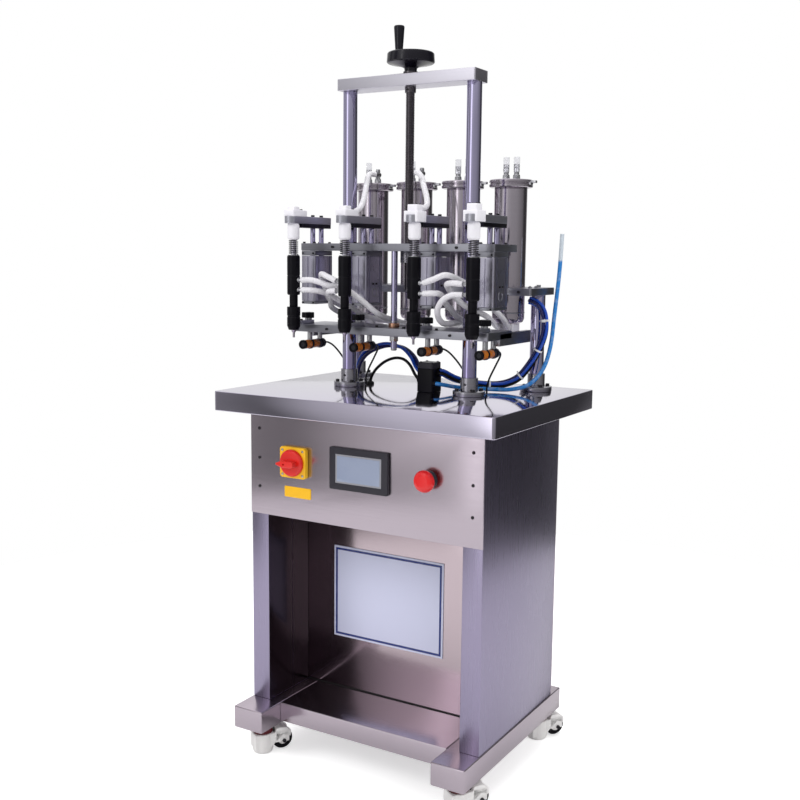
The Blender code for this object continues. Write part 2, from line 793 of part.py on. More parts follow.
def arm(index, x):
    """A head's arm: the plate on the cylinder's rods, and the union that guides the nozzle's stem."""
    bottom = TABLE_TOP + ARM_UNDERSIDE
    top = bottom + ARM_THICKNESS
    half = ARM_WIDTH / 2
    nose = [
        (
            x + half * math.cos(math.pi + math.pi * step / 8),
            NOZZLE_Y - 0.008 + half * math.sin(math.pi + math.pi * step / 8),
        )
        for step in range(9)
    ]
    outline = [*nose, (x + half, ARM_BACK), (x - half, ARM_BACK)]
    plate = prism(f"head_arm_{index}", outline, bottom, top, grey_anodised())
    rods = [
        rod(
            f"piston_rod_{index}_{row}",
            (x, y, TABLE_TOP + UPPER_BEAM_UNDERSIDE - 0.050),
            (x, y, bottom + 0.006),
            ROD_RADIUS,
            chrome(),
            SMALL_ROUND,
        )
        for row, y in enumerate(ROD_YS)
    ]
    union = rod(
        f"union_{index}", (x, NOZZLE_Y, TABLE_TOP + UNION_BOTTOM), (x, NOZZLE_Y, bottom + 0.006),
        UNION_RADIUS, grey_anodised(),
    )
    cap = box(
        f"arm_cap_{index}",
        (x - 0.011, NOZZLE_Y - 0.012, top - 0.004),
        (x + 0.011, NOZZLE_Y + 0.014, top + 0.018),
        grey_anodised(),
        bevel=0.001,
    )
    stem_bore = rod(
        f"stem_bore_{index}",
        (x, NOZZLE_Y, TABLE_TOP + UNION_BOTTOM - 0.01),
        (x, NOZZLE_Y, TABLE_TOP + UNION_BOTTOM + STEM_REACH + NOZZLE_TRAVEL + STEM_END_GAP),
        STEM_RADIUS + GAP,
        grey_anodised(),
        MEDIUM_ROUND,
    )
    return cut(join(plate, *rods, union, cap), stem_bore)


def nozzle(index, x):
    """A filling nozzle: needle, guided tube, barrel with two hose ports, and the sprung stem."""
    needle = TABLE_TOP + NEEDLE_BOTTOM
    shoulder = TABLE_TOP + GUIDE_BOTTOM + 0.003
    barrel = TABLE_TOP + BARREL_BOTTOM
    top = TABLE_TOP + BARREL_TOP
    stem = TABLE_TOP + UNION_BOTTOM + STEM_REACH
    profile = (
        (0, needle), (NEEDLE_RADIUS, needle), (NEEDLE_RADIUS, shoulder - 0.004),
        (TUBE_RADIUS - 0.003, shoulder), (TUBE_RADIUS, shoulder + 0.004), (TUBE_RADIUS, barrel),
        (BARREL_RADIUS, barrel), (BARREL_RADIUS, top - 0.001), (BARREL_RADIUS - 0.001, top),
        (STEM_RADIUS, top), (STEM_RADIUS, stem), (0, stem),
    )
    body = turned(f"nozzle_{index}", profile, (x, NOZZLE_Y, 0), black_plastic(), MEDIUM_ROUND)
    towards = 1 if index % 2 else -1
    ports = [
        rod(
            f"nozzle_port_{index}_{row}",
            (x, NOZZLE_Y, barrel + height),
            (x + towards * (BARREL_RADIUS + 0.007), NOZZLE_Y, barrel + height),
            0.0035,
            black_plastic(),
            SMALL_ROUND,
        )
        for row, height in enumerate((0.010, 0.029))
    ]
    return join(body, *ports)


# --- Rear shelf and tanks ---

def tank_places():
    """The tank centres along the shelf, from left to right."""
    return [TANK_PITCH * (index - 1.5) for index in range(4)]


def tank_shelf():
    """The shelf on the rear posts, pierced for the tanks."""
    bottom = TABLE_TOP + SHELF_UNDERSIDE
    half = SHELF_WIDTH / 2
    shelf = box(
        "tank_shelf", (-half, SHELF_FRONT, bottom), (half, SHELF_BACK, bottom + SHELF_THICKNESS),
        brushed(), bevel=0.001,
    )
    holes = [
        rod(
            f"tank_hole_{index}", (x, TANK_Y, bottom - 0.01), (x, TANK_Y, bottom + 0.03),
            TANK_RADIUS + SLIDE_CLEARANCE, brushed(), LARGE_ROUND,
        )
        for index, x in enumerate(tank_places(), 1)
    ]
    return cut(shelf, *holes)


def tank(index, x):
    """A liquid tank: a thin tube with an outlet below and a clamped lid with two hose ports."""
    bottom = TABLE_TOP + TANK_BOTTOM
    lid = bottom + TANK_LENGTH
    top = lid + LID_THICKNESS
    inner = TANK_RADIUS - TANK_WALL
    rim = TANK_RADIUS + LID_OVERHANG
    profile = (
        (0, top), (rim, top), (rim, lid), (TANK_RADIUS, lid), (TANK_RADIUS, bottom),
        (0.004, bottom), (0.004, bottom + TANK_WALL), (inner, bottom + TANK_WALL),
        (inner, lid - TANK_WALL), (0, lid - TANK_WALL),
    )
    body = turned(f"tank_{index}", profile, (x, TANK_Y, 0), polished())
    ports = [
        rod(
            f"tank_port_{index}_{row}", (x + dx, TANK_Y, top - 0.003), (x + dx, TANK_Y, top + PORT_HEIGHT),
            PORT_RADIUS, polished(), SMALL_ROUND,
        )
        for row, dx in enumerate((-0.011, 0.011))
    ]
    lever = box(
        f"tank_lever_{index}",
        (x + rim - 0.006, TANK_Y - 0.004, lid + 0.002),
        (x + rim + 0.012, TANK_Y + 0.004, lid + 0.010),
        polished(),
    )
    return join(body, *ports, lever)


# --- Cable gland and hoses ---

def cable_gland():
    """The block on the table through which hoses and cables come up from the cabinet."""
    x, y = GLAND_CENTRE
    half = GLAND_SIDE / 2
    return box(
        "cable_gland", (x - half, y - half, TABLE_TOP + GAP), (x + half, y + half, TABLE_TOP + GLAND_HEIGHT),
        black_plastic(), bevel=0.002,
    )


def hoses():
    """The air lines from the gland to the rear post, and the vent line that stands beside the tanks."""
    blue = material("blue_tube", (0.02, 0.16, 0.60), 0.3, 0.0)
    hose("air_hose_bundle", BUNDLE_ROUTE, BUNDLE_RADIUS, blue)
    hose("vent_tube", VENT_ROUTE, VENT_RADIUS, blue)


def main():
    """Build the machine."""
    for obj in list(bpy.data.objects):
        bpy.data.objects.remove(obj)
    for side, sign in SIDES:
        base_beam(side, sign)
        side_wall(side, sign)
        column(f"{side}_column", sign * COLUMN_X, 0, crossbar_underside() - GAP)
        column(f"{side}_rear_post", sign * POST_X, POST_Y, TABLE_TOP + SHELF_UNDERSIDE - GAP)
    bottom_tray()
    cabinet_panels()
    tabletop()
    isolator()
    touch_panel()
    stop_button()
    for depth, y in (("front", CASTER_FRONT), ("rear", CASTER_BACK)):
        for side, sign in SIDES:
            caster(f"{depth}_{side}", sign * CASTER_X, y)
    top_crossbar()
    handwheel(lead_screw())
    carriage = [upper_beam(), lower_beam(), tie_rod()]
    for index, x in enumerate(HEAD_XS, 1):
        carriage += [cylinder(index, x), guide(index, x), sensor(index, x), arm(index, x)]
        carriage.append(nozzle(index, x))
    pivot("lift_carriage", (0, 0, TABLE_TOP + UPPER_BEAM_UNDERSIDE), carriage)
    tank_shelf()
    for index, x in enumerate(tank_places(), 1):
        tank(index, x)
    cable_gland()
    hoses()


main()
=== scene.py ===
"""The finished look of a four-nozzle bench filling machine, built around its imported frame.

Lengths are in metres, save in the tables that mm() and the hose routes give in millimetres. +Z is
up, +X is the operator's right and +Y is the back. Each sub-assembly is a class: it holds its own
sizes, models its pieces and hangs them on the frame's moving bodies.
"""

import contextlib
import json
import logging
import math
from collections.abc import Callable, Iterable, Iterator, Sequence
from dataclasses import dataclass
from enum import Enum

import bpy
from mathutils import Matrix, Vector

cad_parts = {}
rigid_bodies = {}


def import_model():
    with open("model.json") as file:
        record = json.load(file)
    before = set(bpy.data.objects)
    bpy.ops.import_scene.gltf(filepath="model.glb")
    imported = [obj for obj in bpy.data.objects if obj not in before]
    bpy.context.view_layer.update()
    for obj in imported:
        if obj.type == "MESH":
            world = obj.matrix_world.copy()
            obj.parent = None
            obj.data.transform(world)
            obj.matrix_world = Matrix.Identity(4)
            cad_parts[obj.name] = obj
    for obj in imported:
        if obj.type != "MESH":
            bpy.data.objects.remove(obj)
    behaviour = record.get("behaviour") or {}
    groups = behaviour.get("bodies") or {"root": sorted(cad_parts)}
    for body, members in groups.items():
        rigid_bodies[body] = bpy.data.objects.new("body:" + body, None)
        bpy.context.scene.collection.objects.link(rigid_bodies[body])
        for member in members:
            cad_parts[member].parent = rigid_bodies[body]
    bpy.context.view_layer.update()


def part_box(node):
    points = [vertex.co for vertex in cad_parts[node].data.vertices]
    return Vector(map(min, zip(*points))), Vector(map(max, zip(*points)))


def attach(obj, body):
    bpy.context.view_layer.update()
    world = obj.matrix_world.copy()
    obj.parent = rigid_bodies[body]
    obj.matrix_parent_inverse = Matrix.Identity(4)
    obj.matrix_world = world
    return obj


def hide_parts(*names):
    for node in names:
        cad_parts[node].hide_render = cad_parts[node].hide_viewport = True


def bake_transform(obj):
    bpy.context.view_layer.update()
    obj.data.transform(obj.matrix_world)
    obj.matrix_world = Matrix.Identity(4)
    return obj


for leftover in list(bpy.data.objects):
    bpy.data.objects.remove(leftover)
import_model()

LOG = logging.getLogger("filling_machine")

Point = Sequence[float]
Outline = list[tuple[float, float]]
Colour = tuple[int, int, int]
Linear = tuple[float, float, float]
Piece = bpy.types.Object
Socket = bpy.types.NodeSocket

CABINET = "cabinet"
CARRIAGE = "carriage"
HEAD_XS = (-0.195, -0.0755, 0.0755, 0.195)
NOZZLE_Y = -0.108
ROD_YS = (-0.044, -0.015)
COLUMN_X = 0.136
SIDES = (-1, 1)
PAST = 0.01  # how far a cutter runs past what it cuts
SMOOTH_ANGLE = math.radians(32)
ORIGIN = (0, 0, 0)
UP, FRONT, BACK = (0, 0, 1), (0, -1, 0), (0, 1, 0)
FORWARD = Matrix.Rotation(math.radians(90), 4, "X")
BACKWARD = Matrix.Rotation(math.radians(-90), 4, "X")


# --- Finishes ---


def linear(colour: Colour) -> Linear:
    """Turn a display colour, 0 to 255, into the linear one that a shader takes."""
    shares = (value / 255 for value in colour)
    return tuple(s / 12.92 if s <= 0.04045 else ((s + 0.055) / 1.055) ** 2.4 for s in shares)


class Grain(Enum):
    """How far a finish's lines are drawn out along each axis."""

    LONG_X = (5.0, 420.0, 420.0)
    LONG_Y = (420.0, 5.0, 420.0)
    LONG_Z = (420.0, 420.0, 5.0)
    TURNED = (14.0, 14.0, 520.0)
    EVEN = (90.0, 90.0, 90.0)


class Tree:
    """A shader tree with short ways to add and link its nodes."""

    def __init__(self, tree: bpy.types.NodeTree) -> None:
        """Take an empty or default tree."""
        self.tree = tree

    def add(self, kind: str, values: dict | None = None, **settings: object) -> bpy.types.Node:
        """Add a node.

        Args:
            kind: The node's type, without its ShaderNode prefix.
            values: Numbers or sockets for its inputs, by name or index.
            settings: The node's own properties.

        Returns:
            The node.
        """
        node = self.tree.nodes.new(f"ShaderNode{kind}")
        for name, value in settings.items():
            setattr(node, name, value)
        for name, value in (values or {}).items():
            self.feed(node.inputs[name], value)
        return node

    def feed(self, socket: Socket, value: object) -> None:
        """Link a socket to an input, or set the input's own value.

        Args:
            socket: The input.
            value: A socket to link, or a plain value.
        """
        if isinstance(value, Socket):
            self.tree.links.new(value, socket)
        else:
            socket.default_value = value

    def math(self, operation: str, first: object, second: object = 0.0) -> Socket:
        """Return the result of one sum on two values or sockets."""
        return self.add("Math", {0: first, 1: second}, operation=operation).outputs[0]

    def noise(self, place: Socket, scale: object, detail: float, distortion: float = 0) -> Socket:
        """Return the strength of a noise."""
        given = {"Vector": place, "Scale": scale, "Detail": detail, "Distortion": distortion}
        return self.add("TexNoise", given).outputs[0]

    def spread(self, value: Socket, low: float, high: float, to: Point = (0, 1)) -> Socket:
        """Stretch a part of a mask's range over another range, and hold it there."""
        span = {"Value": value, "From Min": low, "From Max": high, "To Min": to[0], "To Max": to[1]}
        return self.add("MapRange", span).outputs[0]

    def mix(self, share: object, first: object, second: object) -> Socket:
        """Mix two colours.

        Args:
            share: The share of the second colour.
            first: The first colour.
            second: The second colour.

        Returns:
            The mixed colour.
        """
        node = self.add("Mix", data_type="RGBA")
        self.feed(node.inputs[0], share)
        for index, colour in ((6, first), (7, second)):
            self.feed(node.inputs[index], (*colour, 1) if isinstance(colour, tuple) else colour)
        return node.outputs[2]

    def blend(self, share: Socket, first: object, second: object) -> Socket:
        """Mix two numbers."""
        return self.add("Mix", {0: share, 2: first, 3: second}, data_type="FLOAT").outputs[0]

    def effect(self, effect: "Effect", place: Socket, scale: float) -> dict[str, Socket]:
        """Add a shared effect, and return its outputs by name.

        Args:
            effect: The shared effect.
            place: The vector that it is laid out by.
            scale: The scale of its pattern.

        Returns:
            The outputs by name.
        """
        group = self.add("Group", {}, node_tree=effect.group())
        self.feed(group.inputs["Vector"], place)
        self.feed(group.inputs["Scale"], scale)
        return {socket.name: socket for socket in group.outputs}


@dataclass(frozen=True)
class Effect:
    """A node group that several finishes share.

    Attributes:
        name: The group's name.
        outputs: The names of the two values that it puts out.
        fill: Adds its nodes, and returns the two values.
    """

    name: str
    outputs: tuple[str, str]
    fill: Callable[[Tree, Socket, Socket], tuple[Socket, Socket]]

    def group(self) -> bpy.types.NodeTree:
        """Return the group, made on first use from a vector and a scale.

        Returns:
            The node group.
        """
        found = bpy.data.node_groups.get(self.name)
        if found:
            return found
        made = bpy.data.node_groups.new(self.name, "ShaderNodeTree")
        for name, kind in (("Vector", "NodeSocketVector"), ("Scale", "NodeSocketFloat")):
            made.interface.new_socket(name, in_out="INPUT", socket_type=kind)
        for name in self.outputs:
            made.interface.new_socket(name, in_out="OUTPUT", socket_type="NodeSocketFloat")
        tree = Tree(made)
        place, scale = made.nodes.new("NodeGroupInput").outputs[:2]
        outside = made.nodes.new("NodeGroupOutput")
        for result, socket in zip(self.fill(tree, place, scale), outside.inputs):
            tree.feed(socket, result)
        return made


def drawn_lines(tree: Tree, place: Socket, scale: Socket) -> tuple[Socket, Socket]:
    """Add fine drawn lines: a mask and a height.

    Args:
        tree: The node tree to add to.
        place: The vector that sets where the pattern lies.
        scale: The pattern's scale.

    Returns:
        The mask and the height.
    """
    lines = tree.noise(place, scale, 4.0)
    hairs = tree.noise(place, tree.math("MULTIPLY", scale, 3.1), 2.0)
    height = tree.math("ADD", tree.math("MULTIPLY", lines, 0.6), hairs)
    return tree.spread(lines, 0.32, 0.68), height


def soft_smears(tree: Tree, place: Socket, scale: Socket) -> tuple[Socket, Socket]:
    """Add soft smears and finger marks: a mask, and a broader one.

    Args:
        tree: The node tree to add to.
        place: The vector that sets where the pattern lies.
        scale: The pattern's scale.

    Returns:
        The mask, and the broader one.
    """
    smears = tree.noise(place, scale, 5.0, 0.8)
    clouds = tree.noise(place, tree.math("MULTIPLY", scale, 0.28), 1.0)
    return tree.spread(smears, 0.5, 0.72), tree.spread(clouds, 0.3, 0.7)


def fine_pebbles(tree: Tree, place: Socket, scale: Socket) -> tuple[Socket, Socket]:
    """Add the fine pebbled skin of a moulding: a mask and a height.

    Args:
        tree: The node tree to add to.
        place: The vector that sets where the pattern lies.
        scale: The pattern's scale.

    Returns:
        The mask and the height.
    """
    pits = tree.add("TexVoronoi", {"Vector": place, "Scale": scale}).outputs[0]
    soft = tree.noise(place, scale, 3.0)
    height = tree.math("ADD", tree.math("MULTIPLY", pits, 0.5), soft)
    return tree.spread(soft, 0.35, 0.65), height


GRAIN = Effect("drawn_grain", ("Mask", "Height"), drawn_lines)
MARKS = Effect("handling_marks", ("Mask", "Broad"), soft_smears)
SKIN = Effect("moulded_skin", ("Mask", "Height"), fine_pebbles)


def new_material(name: str) -> tuple[bpy.types.Material, Tree, bpy.types.NodeInputs, Socket]:
    """Start a material.

    Args:
        name: The material's name.

    Returns:
        The material, its tree, its shader's inputs and the socket that gives a place on the object.
    """
    made = bpy.data.materials.new(name)
    made.use_nodes = True
    tree = Tree(made.node_tree)
    place = tree.add("TexCoord").outputs["Object"]
    return made, tree, made.node_tree.nodes["Principled BSDF"].inputs, place


@dataclass(frozen=True)
class Metal:
    """A bare or plated metal.

    Attributes:
        colour: Its colour where it is clean.
        roughness: Its usual roughness.
        grain: How its lines run.
        depth: How strongly the grain shows in the light.
        dull: A second colour for its clouds and lines.
        unevenness: How far the clouds and lines go towards that colour.
    """

    colour: Colour
    roughness: float
    grain: Grain = Grain.EVEN
    depth: float = 0.08
    dull: Colour | None = None
    unevenness: float = 0.35

    def build(self, name: str) -> bpy.types.Material:
        """Make the material.

        Args:
            name: The name of the material.

        Returns:
            The material.
        """
        made, tree, shader, place = new_material(name)
        stretched = tree.add("Mapping", {"Vector": place, "Scale": self.grain.value}).outputs[0]
        lines = tree.effect(GRAIN, stretched, 1.0)
        marks = tree.effect(MARKS, place, 17.0)
        uneven = tree.math("MULTIPLY", lines["Mask"], 0.45)
        uneven = tree.math("ADD", uneven, tree.math("MULTIPLY", marks["Broad"], 0.55))
        uneven = tree.math("MULTIPLY", uneven, self.unevenness)
        clean = linear(self.colour)
        dull = linear(self.dull) if self.dull else tuple(0.62 * value for value in clean)
        tree.feed(shader["Base Color"], tree.mix(uneven, clean, dull))
        rough = tree.math("SUBTRACT", lines["Mask"], 0.5)
        rough = tree.math("MULTIPLY", rough, 0.10 * self.roughness)
        rough = tree.math("ADD", rough, tree.math("MULTIPLY", marks["Mask"], 0.018))
        tree.feed(shader["Roughness"], tree.math("ADD", rough, self.roughness))
        tree.feed(shader["Metallic"], 1.0)
        relief = {"Strength": self.depth, "Distance": 0.0004, "Height": lines["Height"]}
        tree.feed(shader["Normal"], tree.add("Bump", relief).outputs[0])
        return made


@dataclass(frozen=True)
class Moulding:
    """A plastic, rubber or enamel.

    Attributes:
        colour: Its colour.
        roughness: Its usual roughness.
        skin: The scale of its pebbled skin.
        depth: How strongly the skin shows in the light.
        rubbed: The colour that its handled places go towards.
        clear: How much light passes into it.
        coat: The weight of a clear gloss over it.
        gleam: How strongly its surface mirrors.
    """

    colour: Colour
    roughness: float
    skin: float = 900.0
    depth: float = 0.10
    rubbed: Colour | None = None
    clear: float = 0.0
    coat: float = 0.0
    gleam: float = 0.5

    def build(self, name: str) -> bpy.types.Material:
        """Make the material.

        Args:
            name: The name of the material.

        Returns:
            The material.
        """
        made, tree, shader, place = new_material(name)
        pebbles = tree.effect(SKIN, place, self.skin)
        marks = tree.effect(MARKS, place, 40.0)
        clean = linear(self.colour)
        rubbed = linear(self.rubbed) if self.rubbed else tuple(0.75 * v + 0.02 for v in clean)
        share = tree.math("MULTIPLY", marks["Mask"], 0.30)
        share = tree.math("ADD", share, tree.math("MULTIPLY", pebbles["Mask"], 0.12))
        tree.feed(shader["Base Color"], tree.mix(share, clean, rubbed))
        rough = tree.math("MULTIPLY", tree.math("SUBTRACT", marks["Mask"], 0.4), 0.12)
        tree.feed(shader["Roughness"], tree.math("ADD", rough, self.roughness))
        shader["Transmission Weight"].default_value = self.clear
        shader["Coat Weight"].default_value = self.coat
        shader["Coat Roughness"].default_value = 0.08
        shader["Specular IOR Level"].default_value = self.gleam
        relief = {"Strength": self.depth, "Distance": 0.0002, "Height": pebbles["Height"]}
        tree.feed(shader["Normal"], tree.add("Bump", relief).outputs[0])
        return made


@dataclass(frozen=True)
class FadedTube:
    """A coloured tube whose upper end is bare and pale.

    Attributes:
        colour: The tube's colour.
        tip: The colour of its end.
        above: The height above which the end begins.
    """

    colour: Colour
    tip: Colour
    above: float

    def build(self, name: str) -> bpy.types.Material:
        """Make the material.

        Args:
            name: The name of the material.

        Returns:
            The material.
        """
        made, tree, shader, place = new_material(name)
        height = tree.add("SeparateXYZ", {0: place}).outputs[2]
        share = tree.spread(height, self.above - 0.002, self.above + 0.002)
        marks = tree.effect(MARKS, place, 60.0)
        tip = linear(self.tip)
        worn = tree.mix(tree.math("MULTIPLY", marks["Mask"], 0.3), linear(self.colour), tip)
        tree.feed(shader["Base Color"], tree.mix(share, worn, tip))
        tree.feed(shader["Roughness"], tree.spread(marks["Broad"], 0, 1, (0.22, 0.34)))
        shader["Coat Weight"].default_value = 0.3
        return made


class Finish(Enum):
    """Every finish on the machine."""

    SHEET = Metal((190, 179, 189), 0.23, Grain.LONG_X, 0.010, (170, 158, 168), 0.25)
    SHEET_UPRIGHT = Metal((160, 152, 178), 0.28, Grain.LONG_Z, 0.0008, (152, 144, 170), 0.08)
    # Painted shade: the walls' inner faces are darkened to stand for the shade inside the bay.
    INNER_WALL = Metal((60, 51, 57), 0.20, Grain.LONG_Z, 0.006, (44, 37, 43), 0.3)
    BACK_SHEET = Metal((196, 180, 187), 0.16, Grain.LONG_Z, 0.006, (182, 166, 173), 0.2)
    TABLE = Metal((208, 202, 220), 0.09, Grain.LONG_X, 0.006, (192, 186, 206), 0.2)
    CHROME = Metal((200, 194, 226), 0.07, Grain.TURNED, 0.006, (180, 174, 210), 0.2)
    BAR = Metal((230, 227, 238), 0.34, Grain.LONG_X, 0.004, (214, 210, 224), 0.2)
    POLISHED = Metal((196, 188, 198), 0.15, Grain.TURNED, 0.008, (172, 163, 174), 0.25)
    LEAD_STEEL = Metal((112, 107, 112), 0.22, Grain.LONG_Z, 0.02, (72, 68, 72), 0.4)
    TURNED_STEEL = Metal((170, 168, 176), 0.26, Grain.TURNED, 0.05, (126, 124, 134))
    ZINC = Metal((198, 198, 202), 0.28, Grain.EVEN, 0.03)
    # Painted shade: the spring steel is darkened to stand for the shadow between its coils.
    SPRING = Metal((104, 102, 110), 0.24, Grain.EVEN, 0.02)
    DARK_BOLT = Metal((70, 68, 72), 0.35, Grain.EVEN, 0.05)
    BRONZE = Metal((214, 168, 142), 0.26, Grain.TURNED, 0.04, (176, 122, 94))
    ANODISED = Metal((166, 166, 175), 0.34, Grain.LONG_X, 0.03, (132, 132, 142))
    ARM_ANODISED = Metal((206, 206, 216), 0.42, Grain.LONG_Y, 0.02, (176, 176, 190))
    CYLINDER_ANODISED = Metal((208, 205, 222), 0.28, Grain.LONG_Z, 0.03, (146, 143, 162))
    DARK_ANODISED = Metal((58, 56, 66), 0.34, Grain.LONG_Y, 0.05, (34, 33, 42))
    BLACK_ACETAL = Moulding((9, 8, 14), 0.36, 1200.0, 0.03, (18, 17, 24), gleam=0.16)
    BLACK_GLOSS = Moulding((14, 12, 22), 0.20, 500.0, 0.01, (20, 18, 29), gleam=0.45)
    BLACK_RUBBER = Moulding((20, 19, 21), 0.55, 700.0, 0.10)
    CHARCOAL = Moulding((48, 46, 54), 0.40, 1100.0, 0.06, gleam=0.3)
    WHITE_FLUOROPLASTIC = Moulding((240, 238, 244), 0.38, 600.0, 0.04, (224, 221, 230))
    IVORY_NYLON = Moulding((236, 234, 233), 0.36, 800.0, 0.04, (218, 215, 214))
    DIAL_RED = Moulding((86, 14, 26), 0.36, 800.0, 0.05, gleam=0.3)
    SWITCH_RED = Moulding((226, 36, 28), 0.34, 900.0, 0.04, (200, 26, 22), coat=0.2)
    STOP_RED = Moulding((226, 26, 28), 0.28, 700.0, 0.03, (196, 18, 22), coat=0.2)
    YELLOW = Moulding((250, 192, 22), 0.38, 900.0, 0.04, (236, 176, 16))
    AMBER = Moulding((206, 118, 34), 0.22, 700.0, 0.02, (150, 66, 14), clear=0.15, coat=0.3)
    SCREEN = Moulding((146, 156, 180), 0.12, 200.0, 0.01, (140, 150, 176), coat=0.5)
    SCREEN_FRAME = Moulding((150, 150, 158), 0.35, 900.0, 0.03)
    SIGN_FACE = Moulding((224, 226, 252), 0.34, 300.0, 0.01, (223, 225, 251), gleam=0.3)
    SIGN_BLUE = Moulding((30, 46, 124), 0.32, 300.0, 0.01, (26, 40, 112), coat=0.2)
    BLUE_TUBE = Moulding((20, 76, 190), 0.26, 500.0, 0.02, (14, 56, 156), coat=0.3)
    NAVY_TUBE = Moulding((20, 22, 88), 0.26, 500.0, 0.02, (13, 14, 60), coat=0.3)
    BLACK_CABLE = Moulding((9, 9, 13), 0.34, 600.0, 0.03, gleam=0.25)
    SILICONE = Moulding((238, 236, 241), 0.30, 300.0, 0.01, (228, 225, 233), clear=0.12)
    CLEAR_STUB = Moulding((238, 238, 242), 0.14, 300.0, 0.01, (232, 232, 238), clear=0.85)
    NYLON_TIE = Moulding((238, 238, 240), 0.36, 800.0, 0.04)
    VENT = FadedTube((34, 128, 206), (206, 216, 226), 0.985)

    def material(self) -> bpy.types.Material:
        """Return this finish's material, made on first use."""
        name = f"finish_{self.name.lower()}"
        return bpy.data.materials.get(name) or self.value.build(name)


CUTTER = Finish.ZINC  # a cutter leaves its own finish behind


# --- Modelling ---


def mm(*values: float, lift: float = 0) -> Outline:
    """Return points from millimetres, two by two, with their second numbers lifted in metres."""
    return [(a / 1000, b / 1000 + lift) for a, b in zip(values[::2], values[1::2])]


def grown(low: Point, high: Point, *by: float) -> tuple[list[float], list[float]]:
    """Return a box's two corners moved outwards along each axis."""
    return [a - b for a, b in zip(low, by)], [a + b for a, b in zip(high, by)]


def choose(*pieces: Piece) -> None:
    """Select these pieces alone, and make the first one active.

    Args:
        pieces: The pieces to select.
    """
    bpy.ops.object.select_all(action="DESELECT")
    for piece in pieces:
        piece.select_set(True)
    bpy.context.view_layer.objects.active = pieces[0]


@contextlib.contextmanager
def editing(piece: Piece) -> Iterator[None]:
    """Hold a piece in edit mode with all of it selected.

    Args:
        piece: The piece to edit.

    Returns:
        A context, which leaves edit mode at its end.
    """
    choose(piece)
    bpy.ops.object.mode_set(mode="EDIT")
    bpy.ops.mesh.select_all(action="SELECT")
    yield
    bpy.ops.object.mode_set(mode="OBJECT")


def dress(piece: Piece, name: str, finish: Finish, angle: float = SMOOTH_ANGLE) -> Piece:
    """Name a piece, settle its place into its mesh, and give it its finish.

    Args:
        piece: The piece.
        name: Its name.
        finish: Its finish.
        angle: Edges sharper than this stay crisp.

    Returns:
        The piece.
    """
    choose(piece)
    bpy.ops.object.transform_apply(location=True, rotation=True, scale=True)
    piece.name = piece.data.name = name
    piece.data.materials.clear()
    piece.data.materials.append(finish.material())
    bpy.ops.object.shade_smooth_by_angle(angle=angle)
    return piece


def soften(piece: Piece, width: float) -> None:
    """Round a piece's sharp edges, where the width is more than nothing.

    Args:
        piece: The piece to round.
        width: The width of the rounding, in metres.
    """
    if width <= 0:
        return
    choose(piece)
    edge = piece.modifiers.new("edge", "BEVEL")
    edge.width, edge.segments, edge.limit_method = width, 3, "ANGLE"
    edge.angle_limit = math.radians(40)
    bpy.ops.object.modifier_apply(modifier=edge.name)


def block(name: str, low: Point, high: Point, finish: Finish, edge: float = 0.0006) -> Piece:
    """Make a block with rounded edges.

    Args:
        name: The piece's name.
        low: Its lowest corner.
        high: Its highest corner.
        finish: Its finish.
        edge: The radius of its edges.

    Returns:
        The block.
    """
    low, high = Vector(low), Vector(high)
    bpy.ops.mesh.primitive_cube_add(size=1, location=(low + high) / 2)
    piece = bpy.context.object
    piece.scale = high - low
    bpy.ops.object.transform_apply(location=True, rotation=True, scale=True)
    soften(piece, min(edge, 0.45 * min(high - low)))
    return dress(piece, name, finish)


def extruded(
    name: str, outline: Outline, bottom: float, top: float, finish: Finish, edge: float = 0.0005
) -> Piece:
    """Make a solid that rises straight up from an outline.

    Args:
        name: The piece's name.
        outline: The corners of its plan, anticlockwise.
        bottom: Its lowest height.
        top: Its highest height.
        finish: Its finish.
        edge: The radius of its edges.

    Returns:
        The solid.
    """
    bpy.ops.mesh.primitive_circle_add(vertices=len(outline), fill_type="NGON")
    piece = bpy.context.object
    for vertex, (x, y) in zip(piece.data.vertices, outline):
        vertex.co = (x, y, bottom)
    with editing(piece):
        bpy.ops.mesh.extrude_region_move(TRANSFORM_OT_translate={"value": (0, 0, top - bottom)})
        bpy.ops.mesh.select_all(action="SELECT")
        bpy.ops.mesh.normals_make_consistent(inside=False)
    soften(piece, edge)
    return dress(piece, name, finish)


def faced(
    name: str, outline: Outline, back: float, front: float, finish: Finish, edge: float
) -> Piece:
    """Make a solid that comes forward from an outline, which is given as x and z."""
    return placed(extruded(name, outline, -back, -front, finish, edge), FORWARD)


def rounded(low: Point, high: Point, radius: float, steps: int = 5) -> Outline:
    """Return the outline of a rectangle with round corners.

    Args:
        low: Its lowest corner, as x and y.
        high: Its highest corner.
        radius: The radius of its corners.
        steps: The number of straight steps in each corner.

    Returns:
        Its corners, anticlockwise.
    """
    right, back = high[0] - radius, high[1] - radius
    left, front = low[0] + radius, low[1] + radius
    outline = []
    for quarter, (x, y) in enumerate(((right, back), (left, back), (left, front), (right, front))):
        for step in range(steps + 1):
            turn = math.radians(90) * (quarter + step / steps)
            outline.append((x + radius * math.cos(turn), y + radius * math.sin(turn)))
    return outline


def star(count: int, reach: Callable[[int], float]) -> Outline:
    """Return evenly turned corners round the origin, each as far out as reach says."""
    turns = enumerate(math.tau * index / count for index in range(count))
    return [(reach(index) * math.cos(turn), reach(index) * math.sin(turn)) for index, turn in turns]


